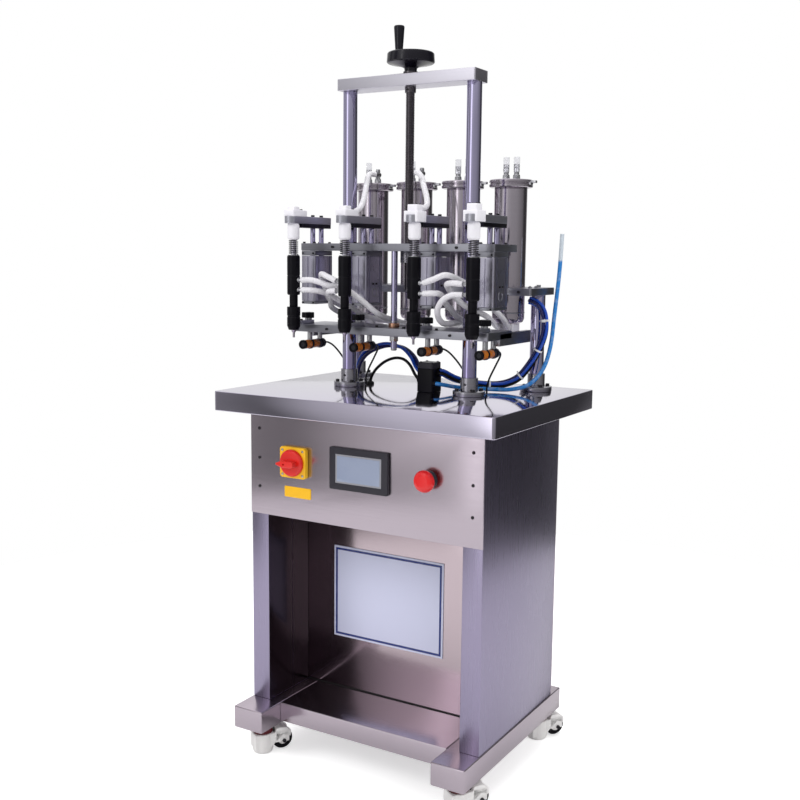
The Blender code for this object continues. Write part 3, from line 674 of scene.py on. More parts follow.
def filleted(profile: Outline, radius: float) -> Outline:
    """Round the inner corners of a profile.

    Args:
        profile: Its corners, as radius and height.
        radius: How far each rounding reaches along its sides.

    Returns:
        The profile with three points at each rounded corner.
    """
    rounded_off = [profile[0]]
    for before, here, after in zip(profile, profile[1:], profile[2:]):
        corner = Vector(here)
        back, on = Vector(before) - corner, Vector(after) - corner
        reach = min(radius, 0.4 * back.length, 0.4 * on.length)
        if here[0] < 1e-6 or reach < 1e-5 or back.angle(on) > math.radians(165):
            rounded_off.append(here)
            continue
        start, end = corner + back.normalized() * reach, corner + on.normalized() * reach
        middle = (start + end) / 4 + corner / 2
        rounded_off += [tuple(start), tuple(middle), tuple(end)]
    return [*rounded_off, profile[-1]]


def turned(
    name: str,
    profile: Outline,
    finish: Finish,
    place: Point = ORIGIN,
    steps: int = 40,
    edge: float = 0.0005,
    turn: Matrix | None = None,
) -> Piece:
    """Make a piece as on a lathe.

    Args:
        name: The piece's name.
        profile: Its half section from one end of the axis to the other, as radius and height.
        finish: Its finish.
        place: Where the axis stands.
        steps: The number of flats round it.
        edge: The rounding of its corners.
        turn: How the axis is turned from upright.

    Returns:
        The turned piece.
    """
    profile = filleted(profile, edge) if edge > 0 else profile
    bpy.ops.mesh.primitive_circle_add(vertices=len(profile), fill_type="NOTHING")
    piece = bpy.context.object
    for vertex, (radius, height) in zip(piece.data.vertices, profile):
        vertex.co = (radius, 0, height)
    with editing(piece):
        bpy.ops.mesh.spin(
            steps=steps, angle=math.tau, center=ORIGIN, axis=UP, use_auto_merge=True
        )
        bpy.ops.mesh.select_all(action="SELECT")
        bpy.ops.mesh.remove_doubles(threshold=2e-6)
        bpy.ops.mesh.dissolve_degenerate(threshold=1e-6)
        bpy.ops.mesh.delete_loose()
        bpy.ops.mesh.select_all(action="SELECT")
        bpy.ops.mesh.normals_make_consistent(inside=False)
    piece.data.transform(Matrix.Translation(place) @ (turn or Matrix.Identity(4)))
    return dress(piece, name, finish)


def disc(name: str, radius: float, low: float, high: float, *look: object) -> Piece:
    """Turn a plain round bar between two heights; the rest is as turned() takes it."""
    return turned(name, [(0, low), (radius, low), (radius, high), (0, high)], *look)


def ring(name: str, inner: float, outer: float, low: float, high: float, *look: object) -> Piece:
    """Turn a plain ring between two heights; the rest is as turned() takes it."""
    profile = [(inner, low), (outer, low), (outer, high), (inner, high), (inner, low)]
    return turned(name, profile, *look)


def rod(
    name: str, start: Point, end: Point, radius: float, finish: Finish, edge: float = 0.0005
) -> Piece:
    """Make a straight round bar with broken edges between two points.

    Args:
        name: The name of the piece.
        start: The centre of one end.
        end: The centre of the other end.
        radius: The radius of the bar.
        finish: The finish of its surface.
        edge: The width of the broken edges.

    Returns:
        The piece.
    """
    run = Vector(end) - Vector(start)
    turn = run.to_track_quat("Z", "Y").to_matrix().to_4x4()
    return disc(name, radius, 0, run.length, finish, Vector(start), 28, edge, turn)


def drills(low: float, high: float, radius: float, *places: Point) -> list[Piece]:
    """Return upright round cutters between two heights."""
    return [rod("drill", (x, y, low), (x, y, high), radius, CUTTER) for x, y in places]


def prism(
    name: str, sides: int, radius: float, low: float, high: float, finish: Finish, place: Point
) -> Piece:
    """Make an upright prism with equal sides."""
    piece = extruded(name, star(sides, lambda _: radius), low, high, finish, 0.0003)
    return placed(piece, place)


def cut(piece: Piece, *cutters: Piece) -> Piece:
    """Take the cutters' shapes out of a piece, and remove them.

    Args:
        piece: The piece to cut.
        cutters: The closed shapes to take out of it.

    Returns:
        The same piece.
    """
    for cutter in cutters:
        choose(piece)
        hole = piece.modifiers.new("hole", "BOOLEAN")
        hole.operation, hole.solver, hole.object = "DIFFERENCE", "EXACT", cutter
        bpy.ops.object.modifier_apply(modifier=hole.name)
        bpy.data.objects.remove(cutter)
    choose(piece)
    bpy.ops.object.shade_smooth_by_angle(angle=SMOOTH_ANGLE)
    return piece


def placed(piece: Piece, move: Matrix | Point) -> Piece:
    """Move a piece's mesh by a matrix or an offset."""
    piece.data.transform(move if isinstance(move, Matrix) else Matrix.Translation(move))
    return piece


def gather(name: str, pieces: Iterable[Piece]) -> Piece:
    """Join pieces into one, which takes the given name.

    Args:
        name: The name of the joined piece.
        pieces: The pieces to join.

    Returns:
        The joined piece.
    """
    pieces = list(pieces)
    choose(*pieces)
    if len(pieces) > 1:
        bpy.ops.object.join()
    piece = bpy.context.object
    piece.name = piece.data.name = name
    return piece


def smooth_route(points: Iterable[Point], spacing: float) -> list[Vector]:
    """Return points a set distance apart on a smooth curve through a route.

    Args:
        points: The route's own points, in millimetres.
        spacing: The distance between the returned points.

    Returns:
        The points of the curve.
    """
    anchors = [Vector([value / 1000 for value in point]) for point in points]
    padded = [2 * anchors[0] - anchors[1], *anchors, 2 * anchors[-1] - anchors[-2]]
    route = []
    for before, start, end, after in zip(padded, padded[1:], padded[2:], padded[3:]):
        steps = max(1, round((end - start).length / spacing))
        for step in range(steps):
            t = step / steps
            bend = 2 * before - 5 * start + 4 * end - after
            twist = 3 * (start - end) + after - before
            route.append(start + (end - before) * t / 2 + bend * t * t / 2 + twist * t**3 / 2)
    return [*route, anchors[-1]]


def route_length(route: Sequence[Vector]) -> float:
    """Return the length along a route."""
    return sum((after - before).length for before, after in zip(route, route[1:]))


def tube(
    name: str, route: Sequence[Vector], radius: float, finish: Finish, fineness: int = 4
) -> Piece:
    """Make a closed tube along a route.

    Args:
        name: The piece's name.
        route: The points that its middle follows.
        radius: Its outer radius.
        finish: Its finish.
        fineness: Half the number of flats round it, less two.

    Returns:
        The tube, as a mesh.
    """
    curve = bpy.data.curves.new(name, "CURVE")
    curve.dimensions, curve.bevel_depth, curve.bevel_resolution = "3D", radius, fineness
    curve.use_fill_caps = True
    spline = curve.splines.new("POLY")
    spline.points.add(len(route) - 1)
    for point, place in zip(spline.points, route):
        point.co = (*place, 1)
    piece = bpy.data.objects.new(name, curve)
    bpy.context.collection.objects.link(piece)
    choose(piece)
    bpy.ops.object.convert(target="MESH")
    piece = bpy.context.object
    with editing(piece):
        bpy.ops.mesh.remove_doubles(threshold=1e-6)
        bpy.ops.mesh.normals_make_consistent(inside=False)
    return dress(piece, name, finish, math.radians(60))


class Hardware:
    """Screws and nuts, each modelled once and copied to its places."""

    def __init__(self) -> None:
        """Start with nothing made."""
        self.patterns: dict[str, Piece] = {}

    def pattern(self, kind: str, finish: Finish) -> Piece:
        """Return the pattern of one kind, of unit head radius, its seat at the origin, head up.

        Args:
            kind: socket, pan or hex.
            finish: The finish of the pattern.

        Returns:
            The pattern, which stands outside the scene.
        """
        key = f"{kind}_{finish.name}"
        if key in self.patterns:
            return self.patterns[key]
        if kind == "socket":
            head = disc(key, 1, -0.3, 1.15, finish, ORIGIN, 20, 0.12)
            head = cut(head, prism("hex", 6, 0.52, 0.45, 1.6, finish, ORIGIN))
        elif kind == "pan":
            dome = [(0, -0.2), (0.95, -0.2), (1, 0.1), (0.85, 0.38), (0.5, 0.55), (0, 0.6)]
            head = turned(key, dome, finish, steps=20, edge=0)
            for x, y in ((0.6, 0.11), (0.11, 0.6)):
                head = cut(head, block("slot", (-x, -y, 0.3), (x, y, 1), finish, 0))
        else:
            head = prism(key, 6, 1.0, -0.3, 0.8, finish, ORIGIN)
            head = gather(key, (head, disc("end", 0.5, 0.5, 1.1, finish, ORIGIN, 14, 0.08)))
        bpy.context.collection.objects.unlink(head)
        self.patterns[key] = head
        return head

    def put(
        self,
        place: Point,
        radius: float,
        way: Point = UP,
        finish: Finish = Finish.DARK_BOLT,
        kind: str = "socket",
    ) -> Piece:
        """Copy a fastener to a place.

        Args:
            place: Where its seat is.
            radius: The radius of its head.
            way: The direction that its head points.
            finish: Its finish.
            kind: socket, pan or hex.

        Returns:
            The fastener.
        """
        pattern = self.pattern(kind, finish)
        twin = pattern.copy()
        twin.data = pattern.data.copy()
        twin.name = twin.data.name = kind
        bpy.context.collection.objects.link(twin)
        turn = Vector(way).to_track_quat("Z", "Y").to_matrix().to_4x4()
        return placed(twin, Matrix.Translation(place) @ turn @ Matrix.Scale(radius, 4))

    def clear(self) -> None:
        """Remove the patterns."""
        for head in self.patterns.values():
            bpy.data.objects.remove(head)


HARDWARE = Hardware()


def hang(
    name: str, pieces: Iterable[Piece], body: str = CABINET, node: str = ""
) -> None:
    """Join pieces and hang them on a body.

    Args:
        name: The joined piece's name.
        pieces: The pieces.
        body: The body that carries it.
        node: The plain solid that it takes the place of, if any.
    """
    piece = gather(name, pieces)
    if node:
        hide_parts(node)
    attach(piece, body)
    LOG.info("%s on %s", name, body)


# --- The cabinet ---


@dataclass
class Cabinet:
    """The sheet-steel cabinet: table, front panel, walls, tray and the blank plate inside."""

    sheet: float = 0.002
    thin: float = 0.0015
    corner: float = 0.006
    stop_hole: float = 0.0113
    screw: float = 0.0032
    screw_x: float = 0.234
    screw_heights: tuple[float, ...] = (0.656, 0.598, 0.541)
    seam_ys: tuple[float, float] = (-0.0886, -0.0874)
    seam_half: float = 0.0006
    sign: tuple[Point, Point] = ((-0.148, -0.0348, 0.213), (0.107, -0.0330, 0.404))
    border: float = 0.004
    line: float = 0.0045
    louvre_half: Point = (0.03, 0.01, 0.002)

    def table(self) -> None:
        """Build the table top with its turned-down rim."""
        low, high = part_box("tabletop")
        table = extruded(
            "table_sheet", rounded(low, high, self.corner), low.z, high.z, Finish.TABLE, 0.0016
        )
        inner = rounded(*grown(low, high, -self.sheet, -self.sheet), 0.004)
        room = extruded("room", inner, low.z - PAST, high.z - self.sheet, CUTTER, 0)
        hang("table_sheet", [cut(table, room)], node="tabletop")

    def front(self) -> None:
        """Build the control panel with its screws."""
        low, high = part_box("control_panel")
        stop_low, stop_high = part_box("stop_button")
        middle = (stop_low + stop_high) / 2
        ends = ((middle.x, y, middle.z) for y in (low.y - PAST, high.y + PAST))
        panel = block("panel_sheet", low, high, Finish.SHEET)
        panel = cut(panel, rod("hole", *ends, self.stop_hole, CUTTER))
        spots = [(side * self.screw_x, low.y, z) for side in SIDES for z in self.screw_heights]
        # The pan screws keep the default dark bolt finish: painted shade on their heads.
        screws = [HARDWARE.put(spot, self.screw, FRONT, kind="pan") for spot in spots]
        hang("panel_sheet", (panel, *screws), node="control_panel")

    def walls(self) -> None:
        """Build the side walls, each with its seam and its inner face darkened as painted shade."""
        for side, name in zip(SIDES, ("left_wall", "right_wall")):
            low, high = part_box(name)
            wall = block(f"{name}_sheet", low, high, Finish.SHEET_UPRIGHT, 0.0010)
            room = block("room", *grown(low, high, -self.thin, -self.thin, PAST), CUTTER, 0)
            face = low.x if side > 0 else high.x
            start = (face - self.seam_half, self.seam_ys[0], low.z + 0.002)
            end = (face + self.seam_half, self.seam_ys[1], high.z - 0.002)
            wall = cut(wall, room, block("seam", start, end, CUTTER, 0))
            # The inner face takes a dark finish, painted shade for the shaded bay.
            wall.data.materials.append(Finish.INNER_WALL.material())
            for polygon in wall.data.polygons:
                if polygon.normal.x * side < -0.9 and abs(polygon.center.x - face) < 0.001:
                    polygon.material_index = 1
            hang(f"{name}_sheet", [wall], node=name)

    def inside(self) -> None:
        """Build the inner panel, a black strip of painted shade along its foot and the blank plate
        on it.
        """
        low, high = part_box("inner_panel")
        panel = block("inner_sheet", low, high, Finish.BACK_SHEET, 0.0004)
        # A black strip along the panel's foot is painted shade where the panel meets the tray.
        start = (low.x + 0.002, low.y - 0.0012, low.z)
        end = (high.x - 0.002, low.y + 0.0004, low.z + 0.0016)
        gap = block("gap", start, end, Finish.BLACK_RUBBER, 0)
        hang("inner_sheet", (panel, gap), node="inner_panel")
        low, high = self.sign
        plate = block("blank_plate", low, high, Finish.SIGN_FACE, 0.0004)
        near = low[1] - 0.0002
        rings = []
        for inset, past in ((self.border, 0), (self.border + self.line, PAST)):
            start = (low[0] + inset, near - past, low[2] + inset)
            end = (high[0] - inset, near + 0.0005 + past, high[2] - inset)
            rings.append(block("line", start, end, Finish.SIGN_BLUE, 0))
        hang("blank_plate", (plate, cut(*rings)))

    def base(self) -> None:
        """Build the tray and the beams that the casters stand under, each hollow."""
        thin, thick = self.thin, self.sheet
        beam = (0.0020, (thick, thick, thick), (-thick, PAST, -thick))
        for name, node, (edge, from_low, from_high) in (
            ("tray", "bottom_tray", (0.0010, (thin, thin, -PAST), (-thin, -thin, -thin))),
            ("left_base_beam", "left_base_beam", beam),
            ("right_base_beam", "right_base_beam", beam),
        ):
            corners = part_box(node)
            solid = block(f"{name}_sheet", *corners, Finish.SHEET, edge)
            start, end = (
                [a + b for a, b in zip(*pair)] for pair in zip(corners, (from_low, from_high))
            )
            solid = cut(solid, block("room", start, end, CUTTER, 0))
            hang(f"{name}_sheet", [solid], node=node)

    def back(self) -> None:
        """Build the rear panel with its louvres and the screws round its edge."""
        low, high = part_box("rear_panel")
        panel = block("rear_sheet", low, high, Finish.BACK_SHEET, 0.0004)
        bottom, rise = low.z + 0.012, high.z - low.z - 0.030
        spots = [
            (x, bottom + rise * step / 4)
            for step in range(5)
            for x in (low.x + 0.010, high.x - 0.010)
        ]
        spots += [(x, bottom) for x in (-0.12, 0.0, 0.12)]
        screws = [
            HARDWARE.put((x, high.y, z), self.screw, BACK, Finish.ZINC, "pan") for x, z in spots
        ]
        half, y = Vector(self.louvre_half), (low.y + high.y) / 2
        middles = [
            Vector((side * 0.06, y, 0.22 + 0.016 * row)) for row in range(6) for side in SIDES
        ]
        slots = [block("slot", middle - half, middle + half, CUTTER, 0) for middle in middles]
        panel = cut(panel, gather("slots", slots))
        hang("rear_sheet", (panel, *screws), node="rear_panel")

    def build(self) -> None:
        """Build the whole cabinet."""
        self.table()
        self.front()
        self.walls()
        self.inside()
        self.base()
        self.back()


@dataclass
class FrontControls:
    """The isolator switch, its blank label, the touch panel and the stop button."""

    stop_radius: float = 0.020
    disc_radius: float = 0.0262
    plate_screw: float = 0.0235
    label: tuple[Point, Point] = ((-0.173, 0.528), (-0.111, 0.549))

    def isolator(self) -> None:
        """Build the yellow plate with its blank label, and the red knob that turns on it."""
        low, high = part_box("switch_plate")
        middle = (low + high) / 2
        flat = rounded((low.x, low.z), (high.x, high.z), 0.006)
        plate = faced("isolator_plate", flat, high.y, low.y, Finish.YELLOW, 0.0012)
        place = (middle.x, low.y + 0.0006, middle.z)
        profile = mm(22.5, 0, 26.2, 0, 25.5, 1, 22.5, 1, 22.5, 0)
        rim = turned("rim", profile, Finish.YELLOW, place, 48, 0.0002, FORWARD)
        reach = self.plate_screw
        spots = [(middle.x + a * reach, low.y, middle.z + b * reach) for a in SIDES for b in SIDES]
        screws = [HARDWARE.put(spot, 0.0026, FRONT, Finish.ZINC, "pan") for spot in spots]
        hang("isolator_plate", (plate, rim, *screws), node="switch_plate")
        near, far = (corner.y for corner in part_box("switch_knob"))
        r = self.disc_radius
        profile = [(0, 0), (r, 0), (r, 0.005), (r - 0.003, 0.008), (0, 0.008)]
        place = (middle.x, far, middle.z)
        knob = turned("isolator_knob", profile, Finish.SWITCH_RED, place, 56, 0.0008, FORWARD)
        edge = mm(-22.5, -1.8, -10, -6.2, 13, -6.2, 18, -4)
        edge += [(x, -z) for x, z in reversed(edge)]
        outline = [(middle.x + x, middle.z + z) for x, z in edge]
        bar = faced("bar", outline, far - 0.004, near, Finish.SWITCH_RED, 0.0014)
        ends = ((middle.x - 0.004, y, middle.z) for y in (near - PAST, near + 0.004))
        bar = cut(bar, rod("eye", *ends, 0.0020, CUTTER))
        hang("isolator_knob", (knob, bar), "switch_knob", "switch_knob")
        flat = rounded(*self.label, 0.002)
        label = faced("blank_label", flat, low.y + 0.0104, low.y + 0.0095, Finish.YELLOW, 0.0002)
        hang("blank_label", [label])

    def touch_panel(self) -> None:
        """Build the touch panel, a dark moulding round a pale screen."""
        low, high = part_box("touch_panel")
        flat = ((low.x, low.z), (high.x, high.z))
        bezel = faced("touch_bezel", rounded(*flat, 0.003), high.y, low.y, Finish.CHARCOAL, 0.0012)
        layers = (
            ("recess", (-0.0135, -0.0125), 0.001, 0.0012, -0.01, CUTTER, 0),
            ("rim", (-0.0135, -0.0125), 0.001, 0.0014, 0.0006, Finish.SCREEN_FRAME, 0.0001),
            ("glass", (-0.0171, -0.0159), 0.0008, 0.0014, 0.0003, Finish.SCREEN, 0.0001),
        )
        recess, rim, glass = (
            faced(
                name,
                rounded(*grown(*flat, *margins), radius),
                low.y + back,
                low.y + front,
                finish,
                edge,
            )
            for name, margins, radius, back, front, finish, edge in layers
        )
        hang("touch_bezel", (cut(bezel, recess), rim, glass), node="touch_panel")

    def stop(self) -> None:
        """Build the mushroom button and the collar that it stands in."""
        low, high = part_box("stop_button")
        middle, face = (low + high) / 2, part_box("control_panel")[0].y
        seat, reach, r = (middle.x, face, middle.z), face - low.y, self.stop_radius
        stem = mm(0, -0.5, 10.5, -0.5)
        stem += [(0.0105, reach - 0.0155), (r - 0.003, reach - 0.0155), (r, reach - 0.013)]
        head = [(r, reach - 0.0085), (r - 0.0028, reach - 0.0034), (r - 0.0085, reach - 0.0008)]
        profile = [*stem, *head, (0, reach)]
        cap = turned("stop_cap", profile, Finish.STOP_RED, seat, 56, 0.0006, FORWARD)
        hang("stop_cap", [cap], "stop_button", "stop_button")
        profile = mm(11.3, 0, 16.5, 0, 16.5, 2.8, 13.5, 5.2, 11.3, 5.2, 11.3, 0)
        collar = turned("stop_collar", profile, Finish.CHARCOAL, seat, 48, 0.0004, FORWARD)
        hang("stop_collar", [collar])

    def build(self) -> None:
        """Build every control."""
        self.isolator()
        self.touch_panel()
        self.stop()


@dataclass
class Caster:
    """A levelling caster: a foot pad, a toothed dial, a plated plate and an ivory housing."""

    name: str
    heading: float = 55.0
    axle: Point = (0.039, 0, 0.022)
    cheeks: tuple[float, float] = (0.0108, 0.018)
    teeth: int = 24

    def local(self) -> Matrix:
        """Return the matrix from the caster's own axes to its place.

        Returns:
            The matrix.
        """
        x = 0.222 if "right" in self.name else -0.222
        y = -0.180 if "front" in self.name else 0.172
        return Matrix.Translation((x, y, 0)) @ Matrix.Rotation(math.radians(self.heading), 4, "Z")

    def housing(self) -> None:
        """Build the housing, dial, foot and top plate."""
        ivory, (reach, _, height) = Finish.IVORY_NYLON, self.axle
        side = mm(-20, 8, 10, 8, 20, 19, 38, 33.5, 52.5, 29, 54, 34, 53.2, 42)
        side += mm(45, 48.5, 34, 50, 22.5, 49, 21.2, 40.5, -20.5, 40.5, -21, 24)
        body = faced("housing", side, 0.018, -0.018, ivory, 0.0016)
        body = cut(body, block("slot", (0.012, -0.010, 0.0), (0.070, 0.010, 0.0462), CUTTER, 0))
        parts = []
        for across, start in zip(SIDES, (-0.0036, 0.018)):
            cheek = disc("cheek", 0.0105, 0, 0.0072, ivory, ORIGIN, 28, 0.0008, FORWARD)
            parts.append(placed(cheek, (reach, start, height)))
            near, far = sorted(across * value for value in self.cheeks)
            parts.append(block("web", (0.022, near, 0.020), (0.050, far, 0.044), ivory, 0.0008))
            parts.append(HARDWARE.put((reach, across * 0.0176, height), 0.0038, (0, across, 0)))
        pad = mm(0, 0, 16.5, 0, 18.8, 1.2, 20.6, 5, 21.2, 12, 20.6, 40, 0, 40)
        foot = turned("foot", pad, ivory)
        rim = star(2 * self.teeth, lambda index: 0.0196 if index % 2 else 0.0186)
        dial = extruded("dial", rim, 0.0412, 0.0545, Finish.DIAL_RED, 0.0006)
        neck = turned("neck", mm(0, 38, 12, 38, 12, 55.7, 26, 55.7, 26, 59.7, 0, 59.7), Finish.ZINC)
        piece = placed(gather("housing", (body, *parts, foot, dial, neck)), self.local())
        hang(f"{self.name}_housing", [piece], self.name, self.name)

    def wheel(self) -> None:
        """Build the wheel with its crowned tread and hub."""
        section = mm(0, 9, 6, 9, 7.5, 6.8, 14, 6.8, 15.5, 8.6, 19, 8.6, 21, 6)
        section += [(radius, -height) for radius, height in reversed(section)]
        wheel = turned("wheel", section, Finish.BLACK_ACETAL, ORIGIN, 48, 0.0006, FORWARD)
        axle = rod("axle", (0, -0.0168, 0), (0, 0.0168, 0), 0.003, Finish.ZINC)
        spots = [
            (0.0112 * math.cos(a), 0.0112 * math.sin(a)) for a in (0.3, 1.557, 2.814, 4.07, 5.33)
        ]
        dimples = [
            rod("dimple", (x, -0.0072, z), (x, 0.0072, z), 0.0016, Finish.BLACK_ACETAL)
            for x, z in spots
        ]
        name = self.name.replace("caster", "wheel")
        piece = placed(
            gather("tread", (wheel, axle, *dimples)), self.local() @ Matrix.Translation(self.axle)
        )
        hang(f"{name}_tread", [piece], name, name)

    def build(self) -> None:
        """Build the caster."""
        self.housing()
        self.wheel()


# --- The stand and the lift ---


@dataclass
class Stand:
    """The chromed columns, the rear posts and the bar across the top."""

    column_radius: float = 0.014
    flange_radius: float = 0.031
    flange: float = 0.009
    flange_screws: float = 0.0242
    hub_radius: float = 0.017
    hub_top: float = 0.7643

    def post(self, name: str) -> None:
        """Build one chromed post with its flange.

        Args:
            name: The name of the piece.
        """
        low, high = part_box(name)
        x, y, floor = (low.x + high.x) / 2, (low.y + high.y) / 2, low.z
        shaft = disc(name, self.column_radius, floor, high.z, Finish.CHROME, (x, y, 0), 64, 0.0008)
        bore, hub, ledge = self.column_radius - 0.0002, self.hub_radius, floor + self.flange
        foot = [(bore, floor), (self.flange_radius, floor), (self.flange_radius, ledge)]
        foot += [(hub + 0.0006, ledge), (hub, ledge + 0.001), (hub, self.hub_top)]
        foot += [(bore, self.hub_top), (bore, floor)]
        flange = turned("flange", foot, Finish.TURNED_STEEL, (x, y, 0), 56, 0.0009)
        turns, reach = [math.radians(45 + 90 * step) for step in range(4)], self.flange_screws
        spots = [(x + reach * math.cos(turn), y + reach * math.sin(turn), ledge) for turn in turns]
        screws = [HARDWARE.put(spot, 0.0038) for spot in spots]
        screws.append(HARDWARE.put((x, y - hub + 0.0012, floor + 0.022), 0.0024, FRONT))
        hang(f"{name}_shaft", (shaft, flange, *screws), node=name)

    def crossbar(self) -> None:
        """Build the top bar with the screws that hold it to the columns."""
        low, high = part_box("top_crossbar")
        bar = extruded("crossbar", rounded(low, high, 0.003), low.z, high.z, Finish.BAR, 0.0010)
        bar = cut(bar, *drills(low.z - PAST, high.z + PAST, 0.0098, ORIGIN[:2]))
        spots = [(side * COLUMN_X, 0, high.z - 0.004) for side in SIDES]
        screws = [HARDWARE.put(spot, 0.0060, finish=Finish.ZINC) for spot in spots]
        hang("crossbar", (bar, *screws), node="top_crossbar")

    def build(self) -> None:
        """Build the stand."""
        for name in ("left_column", "right_column", "left_rear_post", "right_rear_post"):
            self.post(name)
        self.crossbar()


@dataclass
class Lift:
    """The lead screw and the handwheel that turns it."""

    screw_radius: float = 0.0085
    thread: float = 0.0008
    pitch: float = 0.003
    screw_bottom: float = 0.925
    thread_top: float = 1.2960
    boss: tuple[float, float] = (-0.035, 0.015)

    def screw(self) -> None:
        """Build the screw with its thread and collars."""
        crest, root = self.screw_radius, self.screw_radius - self.thread
        profile = [(0, self.screw_bottom), (root, self.screw_bottom)]
        height = self.screw_bottom + 0.002
        while height < self.thread_top:
            for radius, share in ((root, 0), (crest, 0.3), (crest, 0.55), (root, 0.85)):
                profile.append((radius, height + share * self.pitch))
            height += self.pitch
        profile += mm(7.7, 1296.7, 10.5, 1296.7, 10.5, 1306.7, 8.5, 1306.7)
        profile += mm(8.5, 1329.3, 14, 1329.3, 14, 1335, 0, 1335)
        screw = turned("threaded_screw", profile, Finish.LEAD_STEEL, steps=32, edge=0)
        grub = HARDWARE.put((0, -0.0098, 1.3017), 0.0022, FRONT)
        hang("threaded_screw", (screw, grub), "handwheel", "lead_screw")

    def wheel(self) -> None:
        """Build the glossy handwheel with its rim, web and hub."""
        low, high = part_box("handwheel")
        top, black = high.z - 0.0075, Finish.BLACK_GLOSS
        section = mm(0, 0, 11.5, 0, 12.2, 6, 16, 8.5, 34, 13.5, 43, 14.8, 45.5, 17, lift=low.z)
        section += mm(44.5, -2.2, 42.5, 0, 38.7, -0.8, 36.7, -7, 20, -8, 14.5, -3, lift=top)
        section += mm(12.5, -1.2, 7.5, -0.8, 7, -3, 0, -3, lift=top)
        wheel = turned("wheel_rim", section, black, steps=72, edge=0.0006)
        nut = HARDWARE.put((0, 0, top - 0.0030), 0.0048, UP, Finish.ZINC, "hex")
        boss = turned(
            "boss", mm(0, 0, 8.5, 0, 7.2, 16, 0, 16), black, (*self.boss, top - 0.0088), 28
        )
        stud = disc(
            "stud", 0.0046, 0, 0.0024, Finish.ZINC, (*self.boss, high.z - 0.0004), 20, 0.0003
        )
        hang("wheel_rim", (wheel, nut, boss, stud), "handwheel", "handwheel")

    def grip(self) -> None:
        """Build the tapered grip that spins on its stud."""
        low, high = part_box("handwheel_grip")
        place = ((low.x + high.x) / 2, (low.y + high.y) / 2, low.z)
        section = mm(0, 0, 6.2, 0, 7.5, 3, 7.9, 10, 9, 26, 10.2, 44, 10, 46.2, 9, 47.4)
        section += [(0.0060, high.z - low.z), (0, high.z - low.z)]
        grip = turned("grip_sleeve", section, Finish.BLACK_GLOSS, place, 40, 0.0008)
        hang("grip_sleeve", [grip], "handwheel_grip", "handwheel_grip")

    def build(self) -> None:
        """Build the screw, the wheel and its grip."""
        self.screw()
        self.wheel()
        self.grip()


# --- The carriage ---


